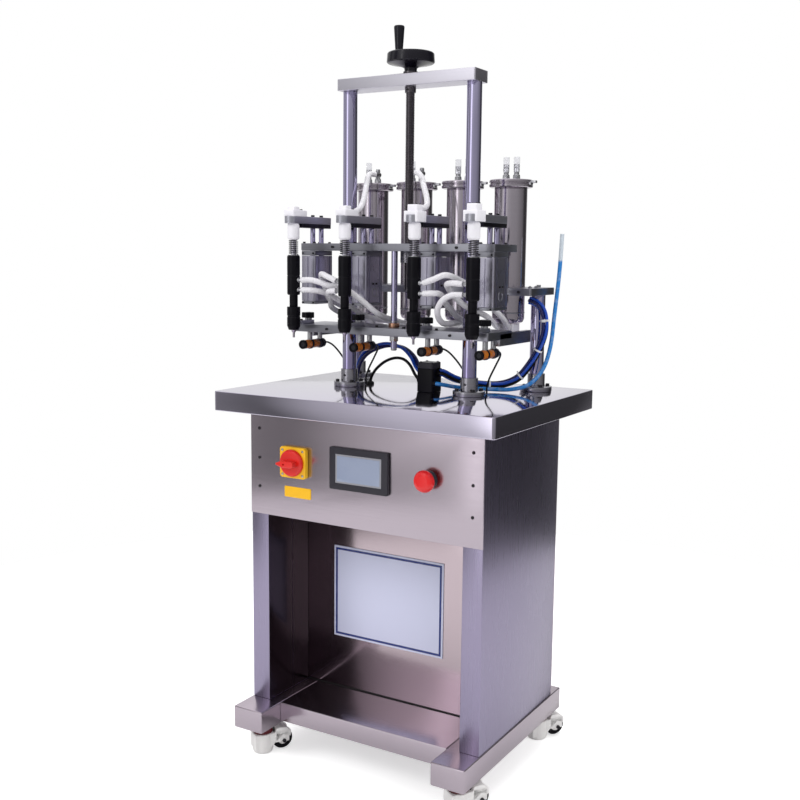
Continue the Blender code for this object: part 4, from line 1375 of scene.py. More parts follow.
@dataclass
class Carriage:
    """The two beams that the lift raises, with their cylinders, guides and sensors."""

    column_bore: float = 0.0146
    flange_radius: float = 0.0205
    flange: float = 0.0026
    upper_bottom: float = 1.000
    lower_bottom: float = 0.841
    lower_top: float = 0.856
    cylinder_half: float = 0.017
    rod_hole: float = 0.0056
    screw_hole: float = 0.0090
    tie_y: float = -0.052
    knob_y: float = -0.059
    sensor_z: float = 0.815

    def column_bores(self, low: float, high: float) -> list[Piece]:
        """Return cutters for the two columns between two heights."""
        return drills(low - PAST, high + PAST, self.column_bore, (-COLUMN_X, 0), (COLUMN_X, 0))

    def bushings(self, height: float) -> list[Piece]:
        """Return the flanged bushings round the columns, with their tops at a height.

        Args:
            height: The height of their tops.

        Returns:
            The pieces.
        """
        size = (self.column_bore - 0.0002, self.flange_radius, height - self.flange, height)
        places = [(side * COLUMN_X, 0, 0) for side in SIDES]
        return [ring("bushing", *size, Finish.TURNED_STEEL, place, 48, 0.0004) for place in places]

    def upper(self) -> None:
        """Build the upper beam with its rod holes, screws and lead nut."""
        low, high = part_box("upper_beam")
        bottom, top = self.upper_bottom, high.z
        beam = extruded(
            "upper_plate", rounded(low, high, 0.003), bottom, top, Finish.ANODISED, 0.0009
        )
        span = (bottom - PAST, top + PAST)
        holes = drills(*span, self.rod_hole, *((x, y) for x in HEAD_XS for y in ROD_YS))
        holes += drills(*span, self.screw_hole, (0, 0))
        beam = cut(beam, gather("holes", self.column_bores(bottom, top) + holes))
        spots = [
            (x + a * 0.0125, y, top) for x in HEAD_XS for a in SIDES for y in (-0.0555, -0.0040)
        ]
        screws = [HARDWARE.put(spot, 0.0027) for spot in spots]
        spots = [(side * COLUMN_X, low.y, (bottom + top) / 2) for side in SIDES]
        screws += [HARDWARE.put(spot, 0.0026, FRONT) for spot in spots]
        nut = ring("lead_nut", 0.0087, 0.016, low.z, bottom + 0.001, Finish.TURNED_STEEL)
        pieces = (beam, *screws, nut, *self.bushings(top + 0.0022))
        hang("upper_plate", pieces, CARRIAGE, "upper_beam")

    def lower(self) -> None:
        """Build the lower beam with its side rails."""
        low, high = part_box("lower_beam")
        bottom, top = self.lower_bottom, self.lower_top
        flat = rounded(low, (high.x, 0.022), 0.003)
        beam = extruded("lower_plate", flat, bottom, top, Finish.ANODISED, 0.0009)
        beam = cut(beam, gather("bores", self.column_bores(bottom, top)))
        rails = []
        for near, far in ((-0.213, -0.203), (0.203, 0.213)):
            rails.append(
                block("rail", (near, -0.030, low.z), (far, high.y, 0.852), Finish.ANODISED, 0.0009)
            )
        screws = [HARDWARE.put((side * COLUMN_X, low.y, 0.8485), 0.0026, FRONT) for side in SIDES]
        screws += [HARDWARE.put((x, -0.066, top), 0.0030) for x in (-0.1, -0.03, 0.03, 0.1)]
        pieces = (beam, *rails, *screws, *self.bushings(0.8582))
        hang("lower_plate", pieces, CARRIAGE, "lower_beam")

    def tie(self) -> None:
        """Build the tie rod between the beams, with its collar and end nut."""
        low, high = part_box("tie_rod")
        place, zinc = (0, self.tie_y, 0), Finish.ZINC
        bar = disc("tie_bar", 0.006, low.z + 0.004, high.z, Finish.CHROME, place, 36, 0.0004)
        collar = ring("collar", 0.0055, 0.0105, 0.8563, 0.8643, Finish.BRONZE, place, 36)
        groove = ring("groove", 0.0055, 0.0080, 0.866, 0.868, zinc, place, 36, 0.0003)
        nut = prism("nut", 6, 0.0092, low.z + 0.018, low.z + 0.0285, zinc, place)
        washer = disc("washer", 0.0105, 0.8395, 0.841, zinc, place, 32, 0.0002)
        profile = mm(0, 0, 4.5, 0, 5.8, 1.5, 5.8, 30, 0, 30, lift=low.z)
        end = turned("end", profile, zinc, place, 28, 0.0003)
        hang("tie_bar", (bar, collar, groove, nut, washer, end), CARRIAGE, "tie_rod")

    def cylinder(self, number: int) -> None:
        """Build one twin-rod cylinder.

        Args:
            number: The head that it lifts, from 1 at the left.
        """
        node = f"air_cylinder_{number}"
        low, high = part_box(node)
        x, half = HEAD_XS[number - 1], self.cylinder_half
        outline = rounded((x - half, low.y), (x + half, high.y), 0.0035)
        body = extruded("body", outline, low.z + 0.006, high.z - 0.010, Finish.CYLINDER_ANODISED)
        cap = extruded("cap", outline, high.z - 0.0095, high.z, Finish.ANODISED, 0.0008)
        foot = extruded("foot", outline, low.z, low.z + 0.0055, Finish.ANODISED, 0.0008)
        spots = [
            (x + a * half, y, 0.0018, 0.0016, PAST)
            for a in SIDES
            for y in (low.y + 0.012, high.y - 0.012)
        ]
        spots.append((x, low.y, 0.0016, 0.0018, -0.012))
        grooves = []
        for across, y, half_x, half_y, past in spots:
            start = (across - half_x, y - half_y, low.z - PAST)
            grooves.append(
                block("groove", start, (across + half_x, y + half_y, high.z + past), CUTTER, 0)
            )
        body = cut(body, gather("grooves", grooves))
        extras = []
        for side in SIDES:
            face = x + side * (half - 0.0002)
            look = (Finish.ZINC, (face, -0.030, 0.920), 36, 0.0002)
            turn = Matrix.Rotation(math.radians(side * 90), 4, "Y")
            extras.append(ring("ring", 0.0074, 0.0090, 0, 0.0008, *look, turn))
            spots = [(face, y, 0.937) for y in (-0.036, -0.024)]
            extras += [HARDWARE.put(spot, 0.0018, (side, 0, 0)) for spot in spots]
        heights = (low.z + 0.0028, high.z - 0.0050)
        spots = [(x + a * 0.0125, low.y, z) for a in SIDES for z in heights]
        extras += [HARDWARE.put(spot, 0.0017, FRONT) for spot in spots]
        outer = -0.004 if number in (1, 3) else 0.004
        profile = mm(0, -2, 4.2, -2, 4.2, 3, 5.2, 3.4, 5.2, 10, 4.4, 11.8, 0, 11.8)
        for z, finish in ((0.905, Finish.BLACK_ACETAL), (0.982, Finish.BLUE_TUBE)):
            place = (x + outer, high.y, z)
            extras.append(turned("fitting", profile, finish, place, 28, 0.0004, BACKWARD))
        hang(f"cylinder_{number}", (body, cap, foot, *extras), CARRIAGE, node)

    def guide(self, number: int) -> None:
        """Build one nozzle guide: its arm, bush and clamping knob.

        Args:
            number: The head that it serves.
        """
        x = HEAD_XS[number - 1]
        outline = rounded((x - 0.007, -0.1000), (x + 0.007, -0.047), 0.0030)
        arm = extruded("arm", outline, 0.8563, 0.8633, Finish.ARM_ANODISED, 0.0006)
        profile = mm(8.3, 846, 9.8, 846, 12.8, 853.5, 13, 854.5, 13, 870, 12.2, 871, 12.2, 873.5)
        profile += mm(13, 874.5, 13, 891, 8.3, 891, 8.3, 846)
        bush = turned("bush", profile, Finish.BLACK_ACETAL, (x, NOZZLE_Y, 0), 48, 0.0007)
        arm = cut(arm, *drills(0.84, 0.90, 0.0122, (x, NOZZLE_Y)))
        lobes = star(50, lambda index: 0.0112 + 0.0021 * math.cos(math.tau * index / 10))
        knob = extruded("knob", lobes, 0.8673, 0.8783, Finish.BLACK_ACETAL, 0.0014)
        place = (x, self.knob_y, 0)
        placed(knob, place)
        stem = disc("stem", 0.0070, 0.8630, 0.8675, Finish.ZINC, place, 28, 0.0003)
        insert = disc("insert", 0.0040, 0.877, 0.8790, Finish.ZINC, place, 24, 0.0002)
        screw = HARDWARE.put((x, -0.082, 0.8633), 0.0024)
        pieces = (arm, bush, knob, stem, insert, screw)
        hang(f"guide_{number}", pieces, CARRIAGE, f"bottle_guide_{number}")

    def sensor(self, number: int) -> None:
        """Build one bottle sensor under the lower beam.

        Args:
            number: The head that it serves.
        """
        low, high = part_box(f"bottle_sensor_{number}")
        x, z = (low.x + high.x) / 2, self.sensor_z
        front = (x, low.y, z)
        pieces = [
            turned(name, mm(*profile), finish, front, steps, edge, BACKWARD)
            for name, profile, finish, steps, edge in (
                (
                    "rim",
                    (5.8, 1.6, 5.8, 0, 8.8, 0, 9, 0.8, 9, 6, 0, 6, 0, 1.6, 5.8, 1.6),
                    Finish.BLACK_ACETAL,
                    40,
                    0.0004,
                ),
                ("lens", (0, 1, 5, 1.2, 5.8, 1.8, 0, 1.9), Finish.BLACK_GLOSS, 32, 0),
                ("middle", (0, 6, 8.7, 6, 8.7, 50, 0, 50), Finish.AMBER, 40, 0.0006),
                ("rear", (0, 50, 9, 50, 9, 70, 6.5, 74, 4, 78, 0, 78), Finish.CHARCOAL, 40, 0.0006),
            )
        ]
        for y in (-0.054, -0.020):
            pieces.append(disc("post", 0.005, z, 0.8407, Finish.ZINC, (x, y, 0), 28, 0.0002))
            look = (Finish.DARK_ANODISED, (x, y, z), 36, 0.0003, BACKWARD)
            pieces.append(ring("band", 0.0085, 0.0100, -0.0025, 0.0025, *look))
        hang(f"sensor_{number}", pieces, CARRIAGE, f"bottle_sensor_{number}")

    def build(self) -> None:
        """Build the whole carriage."""
        self.upper()
        self.lower()
        self.tie()
        for number in range(1, 5):
            self.cylinder(number)
            self.guide(number)
            self.sensor(number)


@dataclass
class FillingHead:
    """One filling head: the arm that its cylinder lifts, the sprung nozzle and its spring."""

    number: int
    arm_low: float = 1.051
    arm_high: float = 1.065
    cap_top: float = 1.083
    half_width: float = 0.012
    nose: float = -0.128
    coils: int = 7
    coil_radius: float = 0.0084
    wire_radius: float = 0.0011
    spring_span: tuple[float, float] = (0.9922, 1.0192)

    @property
    def x(self) -> float:
        """The head's place across the machine."""
        return HEAD_XS[self.number - 1]

    def whites(self) -> list[Piece]:
        """Return the white block on the arm: square on heads 3 and 4, long on 1 and 2.

        Returns:
            The pieces.
        """
        x, half, high = self.x, self.half_width, self.arm_high
        if self.number > 2:
            layers = (
                (
                    half + 0.0022, -0.1235, -0.0900, 0.0015, self.arm_low + 0.001, high + 0.0065,
                    0.0010,
                ),
                (0.010, -0.118, -0.096, 0.0015, high + 0.0063, self.cap_top, 0.0012),
            )
        else:
            layers = (
                (half, -0.1235, -0.0780, 0.0030, high - 0.001, 1.0765, 0.0012),
                (0.0085, -0.116, -0.098, 0.0030, 1.0760, self.cap_top, 0.0012),
            )
        return [
            extruded(
                "white",
                rounded((x - reach, front), (x + reach, back), radius),
                low,
                top,
                Finish.WHITE_FLUOROPLASTIC,
                edge,
            )
            for reach, front, back, radius, low, top, edge in layers
        ]

    def arm(self) -> None:
        """Build the arm with its round nose, white block, union and piston rods."""
        x, half, low, high = self.x, self.half_width, self.arm_low, self.arm_high
        turns = [math.pi + math.pi * index / 14 for index in range(15)]
        centre = self.nose + half
        outline = [(x + half * math.cos(turn), centre + half * math.sin(turn)) for turn in turns]
        outline += [(x + half, 0.002), (x + half - 0.003, 0.005)]
        outline += [(x - half + 0.003, 0.005), (x - half, 0.002)]
        plate = extruded("plate", outline, low, high, Finish.ARM_ANODISED, 0.0010)
        outline = rounded((x - half + 0.0006, -0.094), (x + half - 0.0006, 0.0035), 0.002)
        under = extruded("under", outline, low - 0.0075, low, Finish.DARK_ANODISED)
        under = cut(under, *drills(1.03, low + 0.004, 0.0050, *((x, y) for y in ROD_YS)))
        whites = self.whites()
        profile = mm(5.6, 1020, 9, 1020, 11.5, 1023.5, 11.5, 1047.5, 10, 1051, 10, 1057)
        profile += mm(5.6, 1057, 5.6, 1020)
        place = (x, NOZZLE_Y, 0)
        union = turned("union", profile, Finish.WHITE_FLUOROPLASTIC, place, 48)
        plate = cut(plate, *drills(1.02, 1.0555, 0.0098, (x, NOZZLE_Y)))
        if self.number > 2:
            spots = [
                (a * 0.0068, y, self.cap_top, 0.0016) for a in SIDES for y in (-0.1130, -0.1010)
            ]
        else:
            spots = [(a, y, 1.0765, 0.0018) for a, y in mm(-8.5, -93, 8.5, -93, 0, -85)]
        spots += [(0, y, high, 0.0036) for y in ROD_YS]
        screws = [HARDWARE.put((x + a, y, z), radius) for a, y, z, radius in spots]
        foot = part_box(f"head_arm_{self.number}")[0].z
        rods = [
            disc("rod", 0.005, foot, 1.0565, Finish.CHROME, (x, y, 0), 32, 0.0004) for y in ROD_YS
        ]
        pieces = (plate, under, *whites, union, *screws, *rods)
        body = f"head_{self.number}"
        hang(f"arm_{self.number}", pieces, body, f"head_arm_{self.number}")

    def nozzle(self) -> None:
        """Build the nozzle: needle, cone, tube, barrel with its two ports, and stem."""
        place = (self.x, NOZZLE_Y, 0)
        node = f"nozzle_{self.number}"
        low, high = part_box(node)
        steel = mm(1.2, 4, 1.2, 0, 2.2, 0, 2.3, 9.5, 3.6, 10.5, lift=low.z) + mm(
            8, 853, 8, 862, 0, 862
        )
        steel += mm(0, 4, 1.2, 4, lift=low.z)
        needle = turned("needle", steel, Finish.POLISHED, place, 40, 0.0004)
        profile = mm(0, 861.5, 8.1, 861.5, 8.1, 914, 11.2, 914, 12.5, 916.5, 12.5, 950, 11.9, 950.6)
        profile += mm(11.9, 951.6, 12.5, 952.2, 12.5, 987.5, 11.2, 990, 0, 990)
        barrel = turned("barrel", profile, Finish.BLACK_ACETAL, place, 48)
        stem = disc("stem", 0.005, 0.989, high.z, Finish.BAR, place, 32)
        seat = ring("seat", 0.005, 0.0108, 0.9898, 0.9912, Finish.ZINC, place, 36, 0.0002)
        turn = Matrix.Rotation(math.radians(90 if self.number % 2 else -90), 4, "Y")
        profile = mm(0, 10, 5, 10, 5, 14, 3.5, 14.4, 3.5, 19.5, 0, 19.5)
        ports = [
            turned("port", profile, Finish.ZINC, (self.x, NOZZLE_Y, height), 24, 0.0004, turn)
            for height in (0.924, 0.943)
        ]
        pieces = (barrel, needle, stem, seat, *ports)
        hang(f"nozzle_body_{self.number}", pieces, node, node)

    def spring(self) -> None:
        """Wind the spring that holds the nozzle down."""
        (low, high), radius, steps = self.spring_span, self.coil_radius, 18 * self.coils
        route = []
        for share in (step / steps for step in range(steps + 1)):
            turn = math.tau * self.coils * share
            x, y = self.x + radius * math.cos(turn), NOZZLE_Y + radius * math.sin(turn)
            route.append(Vector((x, y, low + (high - low) * share)))
        # The wire takes the darkened spring finish, painted shade between the coils.
        coil = tube(f"spring_{self.number}", route, self.wire_radius, Finish.SPRING, 2)
        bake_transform(coil)
        LOG.info("%s between nozzle and head", coil.name)

    def build(self) -> None:
        """Build the head."""
        self.arm()
        self.nozzle()
        self.spring()


@dataclass
class TankRack:
    """The shelf on the rear posts and the four polished tanks in it."""

    tank_xs: tuple[float, ...] = (-0.1575, -0.0525, 0.0525, 0.1575)
    tank_y: float = 0.120
    radius: float = 0.03175
    port_x: float = 0.011
    hosed: tuple[tuple[int, int], ...] = ((1, 1), (2, 1))

    def shelf(self) -> None:
        """Build the shelf with a hole for each tank and its screws."""
        low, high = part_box("tank_shelf")
        flat = rounded(low, high, 0.004)
        shelf = extruded("shelf_plate", flat, low.z, high.z, Finish.ANODISED, 0.0009)
        spots = [(x, self.tank_y) for x in self.tank_xs]
        holes = drills(low.z - PAST, high.z + PAST, self.radius + 0.0006, *spots)
        shelf = cut(shelf, gather("holes", holes))
        screws = []
        for side in SIDES:
            spot = (side * 0.210, 0.145, high.z)
            screws.append(HARDWARE.put(spot, 0.0042, finish=Finish.ZINC))
            spots = [(side * 0.224, y, high.z) for y in (0.072, 0.100)]
            screws += [HARDWARE.put(spot, 0.0038, UP, Finish.ZINC, "hex") for spot in spots]
            spots = [(side * x, low.y, (low.z + high.z) / 2) for x in (0.105, 0.210)]
            screws += [HARDWARE.put(spot, 0.0028, FRONT) for spot in spots]
        hang("shelf_plate", (shelf, *screws), node="tank_shelf")

    def tank(self, number: int) -> None:
        """Build one tank with its clamped lid, lever, ports and outlets.

        Args:
            number: The tank, from 1 at the left.
        """
        x, y, r, zinc = self.tank_xs[number - 1], self.tank_y, self.radius, Finish.ZINC
        low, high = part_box(f"tank_{number}")
        place = (x, y, 0)
        shell = [(0, 0), (r - 0.010, 0), (r - 0.003, 0.003), (r, 0.010)]
        shell = [(radius, low.z + height) for radius, height in shell] + [(r, 1.124), (0, 1.124)]
        pieces = [turned("body", shell, Finish.POLISHED, place, 72, 0.0012)]
        lid = mm(30.75, 1123.5, 40, 1123.5, 42, 1124.8, 42, 1129.2, 40.2, 1130.2, 40.2, 1131.8)
        lid += mm(42, 1132.8, 42, 1137.2, 40, 1138.6, 30, 1139.2, 0, 1139.2, 0, 1123.5)
        lid += mm(30.75, 1123.5)
        pieces.append(turned("clamp", lid, Finish.POLISHED, place, 72))
        band = mm(31.75, 20, 32.15, 20.5, 32.15, 22.5, 31.75, 23, 31.75, 20, lift=low.z)
        pieces.append(turned("band", band, Finish.TURNED_STEEL, place, 72, 0))
        port = mm(0, 1138, 6.6, 1138, 6.6, 1147.5, 5, 1149, 5, 1160, 4.3, 1161, 4.8, 1164)
        port += [(0.0040, high.z), (0, high.z)]
        for side in SIDES:
            mouth = x + side * self.port_x
            pieces.append(turned("port", port, zinc, (mouth, y, 0), 28, 0.0004))
            pieces.append(prism("nut", 6, 0.0078, 1.1392, 1.1450, zinc, (mouth, y, 0)))
            if (number, side) in self.hosed:
                ends = ((mouth, y - 0.017, 1.157), (mouth, y + 0.006, 1.157))
                pieces.append(rod("elbow", *ends, 0.0050, zinc))
        start, end = (x + 0.036, y - 0.0035, 1.1315), (x + 0.0535, y + 0.0035, 1.1365)
        pieces.append(block("lever", start, end, zinc, 0.0012))
        start, end = (x + 0.0405, y - 0.006, 1.1310), (x + 0.0405, y + 0.006, 1.1310)
        pieces.append(rod("hinge", start, end, 0.0034, zinc))
        start, end = (x - 0.018, 0.1035, 0.8445), (x + 0.018, 0.1365, 0.8625)
        pieces.append(block("tee", start, end, Finish.WHITE_FLUOROPLASTIC, 0.0016))
        for mouth in (x - 0.010, x + 0.010):
            ends = ((mouth, 0.0985, 0.852), (mouth, 0.108, 0.852))
            pieces.append(rod("barb", *ends, 0.0046, zinc))
        hang(f"tank_body_{number}", pieces, node=f"tank_{number}")

    def stubs(self) -> None:
        """Put a short clear tube on each lid port that has no hose."""
        for number, x in enumerate(self.tank_xs, 1):
            for side, word in zip(SIDES, ("left", "right")):
                if (number, side) in self.hosed:
                    continue
                mouth = x + side * self.port_x
                route = [Vector((mouth, self.tank_y, 1.1535 + 0.0035 * step)) for step in range(9)]
                name = f"stub_{number}_{word}"
                hang(name, [tube(name, route, 0.0058, Finish.CLEAR_STUB)])

    def build(self) -> None:
        """Build the rack."""
        self.shelf()
        for number in range(1, 5):
            self.tank(number)
        self.stubs()


# --- Hoses and cables ---


class Give(Enum):
    """How stiff a line is."""

    LIMP = "limp"
    MEDIUM = "medium"
    STIFF = "stiff"


def strand(route: Sequence[Vector], reach: float, start: float, twist: float) -> list[Vector]:
    """Return a route that winds slowly round another at a distance.

    Args:
        route: The middle of the bundle.
        reach: The distance from it.
        start: The angle at its first point.
        twist: How many turns it makes.

    Returns:
        The strand's points.
    """
    up = Vector((0.3, -0.2, 1)).normalized()
    points = []
    for index, here in enumerate(route):
        ahead = route[min(index + 1, len(route) - 1)] - route[max(index - 1, 0)]
        ahead.normalize()
        up = (up - ahead * up.dot(ahead)).normalized()
        turn = start + math.tau * twist * index / (len(route) - 1)
        points.append(here + reach * (math.cos(turn) * up + math.sin(turn) * ahead.cross(up)))
    return points


@dataclass(frozen=True)
class Line:
    """A hose or cable that is a free cord.

    Attributes:
        name: Its name.
        radius: Its radius.
        finish: Its finish.
        slot: A name for its material; not used.
        give: Its stiffness; not used.
        fineness: How round its mesh is, as tube() takes it.
        node: The plain solid that it takes the place of, if any.
    """

    name: str
    radius: float
    finish: Finish
    slot: str
    give: Give
    fineness: int = 4
    node: str = ""

    def lay(self, route: Sequence[Vector], *across: object) -> None:
        """Lay the line along a route.

        Args:
            route: The points that its middle follows.
            across: Its two bodies and the points where each lets go; only whether they are given is
                read. A line given them stays where it is laid on no body, one without them rides
                the cabinet.
        """
        piece = tube(self.name, route, self.radius, self.finish, self.fineness)
        if self.node:
            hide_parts(self.node)
        if across:
            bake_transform(piece)
        else:
            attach(piece, CABINET)
        LOG.info("%s, %.0f mm long", self.name, 1000 * route_length(route))


# Routes in millimetres. Each hose is named by its use and by the head that it serves.
HOSE_ROUTES = {
    "feed_1": (
        (-175.5, -108, 924), (-155, -106, 924), (-140, -92, 921), (-138, -70, 915),
        (-150, -45, 905), (-160, -30, 890), (-163, 0, 878), (-160, 30, 868), (-160, 70, 856),
        (-167.5, 100, 852),
    ),
    "return_1": (
        (-175.5, -108, 943), (-150, -107, 943), (-122, -96, 934), (-95, -82, 928),
        (-75.5, -78, 918), (-55, -73, 903), (-40, -60, 886), (-34, -35, 874), (-34, 0, 867),
        (-36, 30, 861), (-41, 70, 855), (-42.5, 100, 852),
    ),
    "feed_2": (
        (-95, -108, 924), (-112, -106, 923), (-122, -92, 918), (-118, -65, 905), (-108, -35, 890),
        (-106, 0, 875), (-102, 35, 866), (-80, 75, 857), (-62.5, 100, 852),
    ),
    "return_2": (
        (-95, -108, 943), (-115, -106, 950), (-138, -95, 955), (-150, -75, 943), (-158, -50, 922),
        (-165, -30, 905), (-163, 0, 893), (-158, 35, 880), (-150, 70, 865), (-147.5, 100, 852),
    ),
    "feed_3": (
        (95, -108, 924), (112, -106, 925), (120, -94, 924), (118, -75, 917), (110, -50, 905),
        (106, -20, 892), (106, 0, 880), (104, 35, 868), (85, 70, 858), (62.5, 100, 852),
    ),
    "return_3": (
        (95, -108, 943), (115, -107, 950), (135, -100, 958), (150, -85, 952), (160, -60, 940),
        (165, -30, 925), (165, 0, 912), (166, 35, 895), (172, 70, 872), (167.5, 100, 852),
    ),
    "feed_4": (
        (175.5, -108, 924), (155, -110, 923), (136, -108, 914), (122, -102, 898), (115, -87, 882),
        (111, -66, 871), (108, -40, 866.5), (104, 0, 866.5), (95, 40, 863), (70, 75, 856),
        (42.5, 100, 852),
    ),
    "return_4": (
        (175.5, -108, 943), (155, -108, 944), (140, -100, 942), (132, -85, 937), (133, -65, 922),
        (142, -45, 905), (156, -25, 892), (164, 0, 884), (160, 40, 872), (152, 75, 860),
        (147.5, 100, 852),
    ),
    "overflow_2": (
        (-75.5, -79, 1073), (-75.5, -70, 1074.5), (-79, -50, 1082), (-88, -25, 1098),
        (-102, 5, 1121), (-120, 38, 1141), (-136, 68, 1152), (-145.5, 90, 1156.5),
        (-146.5, 100, 1157), (-146.5, 108, 1157),
    ),
    "overflow_3": (
        (75.5, -91, 1076), (75.5, -80, 1077), (70, -55, 1084), (55, -30, 1101), (30, 3, 1123),
        (6, 38, 1141), (-18, 68, 1152), (-36, 88, 1156.5), (-41, 100, 1157), (-41.5, 108, 1157),
    ),
}
BUNDLE_ROUTE = (
    (63.6, 14, 768), (72, 14, 768), (92, 36, 754), (128, 72, 744), (160, 94, 744), (188, 106, 757),
    (208, 113, 782), (224, 118, 812), (235, 120, 843), (236.5, 120, 870), (230, 120, 891),
    (217, 119, 904), (203, 118, 908.5),
)
VENT_ROUTE = (
    (63.6, -4, 748), (72, -4, 748), (100, 34, 739), (140, 66, 736), (185, 80, 737), (218, 95, 748),
    (236, 117, 777), (243, 134, 820), (246, 142, 880), (251, 148, 960), (254, 150, 1036),
)
LEFT_MAIN_ROUTE = (
    (27, 8, 768), (15, 12, 778), (-5, 26, 795), (-35, 40, 809), (-72, 48, 813), (-105, 53, 806),
    (-132, 57, 793), (-150, 60, 773), (-158, 62, 750), (-161, 62, 732),
)
LEFT_CABLE_ROUTE = (
    (27, 0, 752), (15, 4, 762), (-6, 20, 778), (-30, 34, 787), (-55, 42, 787), (-80, 46, 778),
    (-102, 49, 762), (-114, 50, 746), (-118, 50, 732),
)


@dataclass
class Plumbing:
    """The gland block, the air bundle, the vent tube, the cables and the liquid hoses."""

    gland: tuple[float, float] = (0.045, 0.008)
    gland_screw: float = 0.012
    strand_reach: float = 0.0046
    pair_reach: float = 0.0036
    hose_radius: float = 0.0055
    tie_shares: tuple[float, ...] = (0.30, 0.50, 0.66, 0.84)
    lead_ends: tuple[float, float] = (156, 119)

    def gland_block(self) -> None:
        """Build the gland block with its cap, screws and inlets."""
        low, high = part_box("cable_gland")
        flat = rounded(low, high, 0.004)
        shell = extruded("gland_block", flat, low.z, high.z - 0.012, Finish.BLACK_ACETAL, 0.0012)
        flat = rounded(*grown(low, high, -0.0010, -0.0010), 0.004)
        cap = extruded("cap", flat, high.z - 0.0125, high.z, Finish.CHARCOAL, 0.0016)
        (x, y), reach = self.gland, self.gland_screw
        spots = [(x + a * reach, y + b * reach, high.z) for a in SIDES for b in SIDES]
        pieces = [HARDWARE.put(spot, 0.0028, UP, Finish.ZINC, "pan") for spot in spots]
        for side, y, z, radius in (
            (1, 0.014, 0.768, 0.0090),
            (1, -0.004, 0.748, 0.0055),
            (-1, 0.008, 0.768, 0.0075),
            (-1, 0.000, 0.752, 0.0042),
        ):
            face = x + side * 0.018
            ends = ((face - side * 0.002, y, z), (face + side * 0.0035, y, z))
            pieces.append(rod("nipple", *ends, radius, Finish.BLACK_ACETAL))
        hang("gland_block", (shell, cap, *pieces), node="cable_gland")

    def bundle(self) -> None:
        """Lay the air bundle with its white ties."""
        route = smooth_route(BUNDLE_ROUTE, 0.006)
        kinds = (Finish.BLUE_TUBE, Finish.BLACK_CABLE, Finish.BLUE_TUBE, Finish.NAVY_TUBE)
        for number, finish in enumerate(kinds, 1):
            node = "air_hose_bundle" if number == 1 else ""
            line = Line(f"air_line_{number}", 0.0031, finish, "blue_tube", Give.STIFF, node=node)
            line.lay(strand(route, self.strand_reach, math.tau * (number - 1) / 4, 0.4))
        for number, share in enumerate(self.tie_shares, 1):
            index = round(share * (len(route) - 1))
            ahead = route[min(index + 1, len(route) - 1)] - route[index - 1]
            turn = ahead.normalized().to_track_quat("Z", "Y").to_matrix().to_4x4()
            nylon = Finish.NYLON_TIE
            tie = ring("tie", 0.0070, 0.0086, -0.0018, 0.0018, nylon, ORIGIN, 28, 0.0004)
            lock = block("lock", (0.0072, -0.0028, -0.0026), (0.0118, 0.0028, 0.0026), nylon)
            tail = block("tail", (0.0104, 0.0015, -0.0012), (0.0113, 0.0110, 0.0012), nylon, 0.0003)
            piece = placed(
                gather("tie", (tie, lock, tail)), Matrix.Translation(route[index]) @ turn
            )
            hang(f"tie_{number}", [piece])

    def vent(self) -> None:
        """Raise the vent tube, whose tip is bare."""
        line = Line("vent_line", 0.004, Finish.VENT, "blue_tube", Give.STIFF, 5, "vent_tube")
        line.lay(smooth_route(VENT_ROUTE, 0.006))

    def left_lines(self) -> None:
        """Arch the main line and the sensor lead from the gland to grommets at the left."""
        pair = self.pair_reach
        for name, points, radius, finish, reach in (
            ("main_line", LEFT_MAIN_ROUTE, 0.0040, Finish.NAVY_TUBE, pair),
            ("air_line_5", LEFT_MAIN_ROUTE, 0.0032, Finish.BLUE_TUBE, -pair),
            ("sensor_lead", LEFT_CABLE_ROUTE, 0.0030, Finish.BLACK_CABLE, 0.0),
        ):
            route = smooth_route(points, 0.005)
            route = strand(route, reach, 0.8, 0.5) if reach else route
            Line(name, radius, finish, "blue_tube", Give.MEDIUM, 5).lay(route)
            if reach < 0:
                continue
            r, place = radius + reach, (points[-1][0] / 1000, points[-1][1] / 1000, 0)
            profile = [(r, 0.7296), (r + 0.0055, 0.7296), (r + 0.0050, 0.7335)]
            profile += [(r + 0.0015, 0.7355), (r, 0.7355), (r, 0.7296)]
            grommet = turned("grommet", profile, Finish.BLACK_RUBBER, place, 36, 0.0004)
            hang(f"{name}_grommet", [grommet])

    def hoses(self) -> None:
        """Lay each liquid hose in lengths, one for each pair of bodies that it crosses."""
        for name, points in HOSE_ROUTES.items():
            use, number = name.split("_")
            bodies, shares = [f"nozzle_{number}", f"head_{number}", CARRIAGE, CABINET], (0.30, 0.60)
            if use == "overflow":
                bodies, shares = bodies[1:], (0.45,)
            route = smooth_route(points, 0.0045)
            total, travelled, stops = route_length(route), 0.0, [0]
            for share in shares:
                index = stops[-1]
                while travelled < share * total:
                    travelled += (route[index + 1] - route[index]).length
                    index += 1
                stops.append(index)
            stops.append(len(route) - 1)
            legs = zip("abc", stops, stops[1:], bodies, bodies[1:])
            for letter, first, last, near, far in legs:
                part = route[first : last + 1]
                give = (part[-1] - part[0]) * 0.06
                look = (self.hose_radius, Finish.SILICONE, "ivory_nylon", Give.LIMP, 6)
                Line(f"{name}_{letter}", *look).lay(
                    part, near, far, part[0] + give, part[-1] - give
                )

    def sensor_leads(self) -> None:
        """Hang a thin lead from each sensor to the table behind it."""
        for number, place in enumerate(HEAD_XS, 1):
            x = 1000 * place
            end = math.copysign(self.lead_ends[number in (2, 3)], x)
            run = end - x
            points = [(x, -4, 815), (x, 8, 814.5), (x + 0.15 * run, 22, 806)]
            points += [(x + 0.5 * run, 31, 786), (x + 0.85 * run, 35, 762)]
            route = smooth_route([*points, (end, 36, 744), (end, 36, 730.5)], 0.005)
            look = (0.0018, Finish.BLACK_CABLE, "black_plastic", Give.LIMP, 3)
            Line(f"lead_{number}", *look).lay(route, CARRIAGE, CABINET, route[3], route[-3])

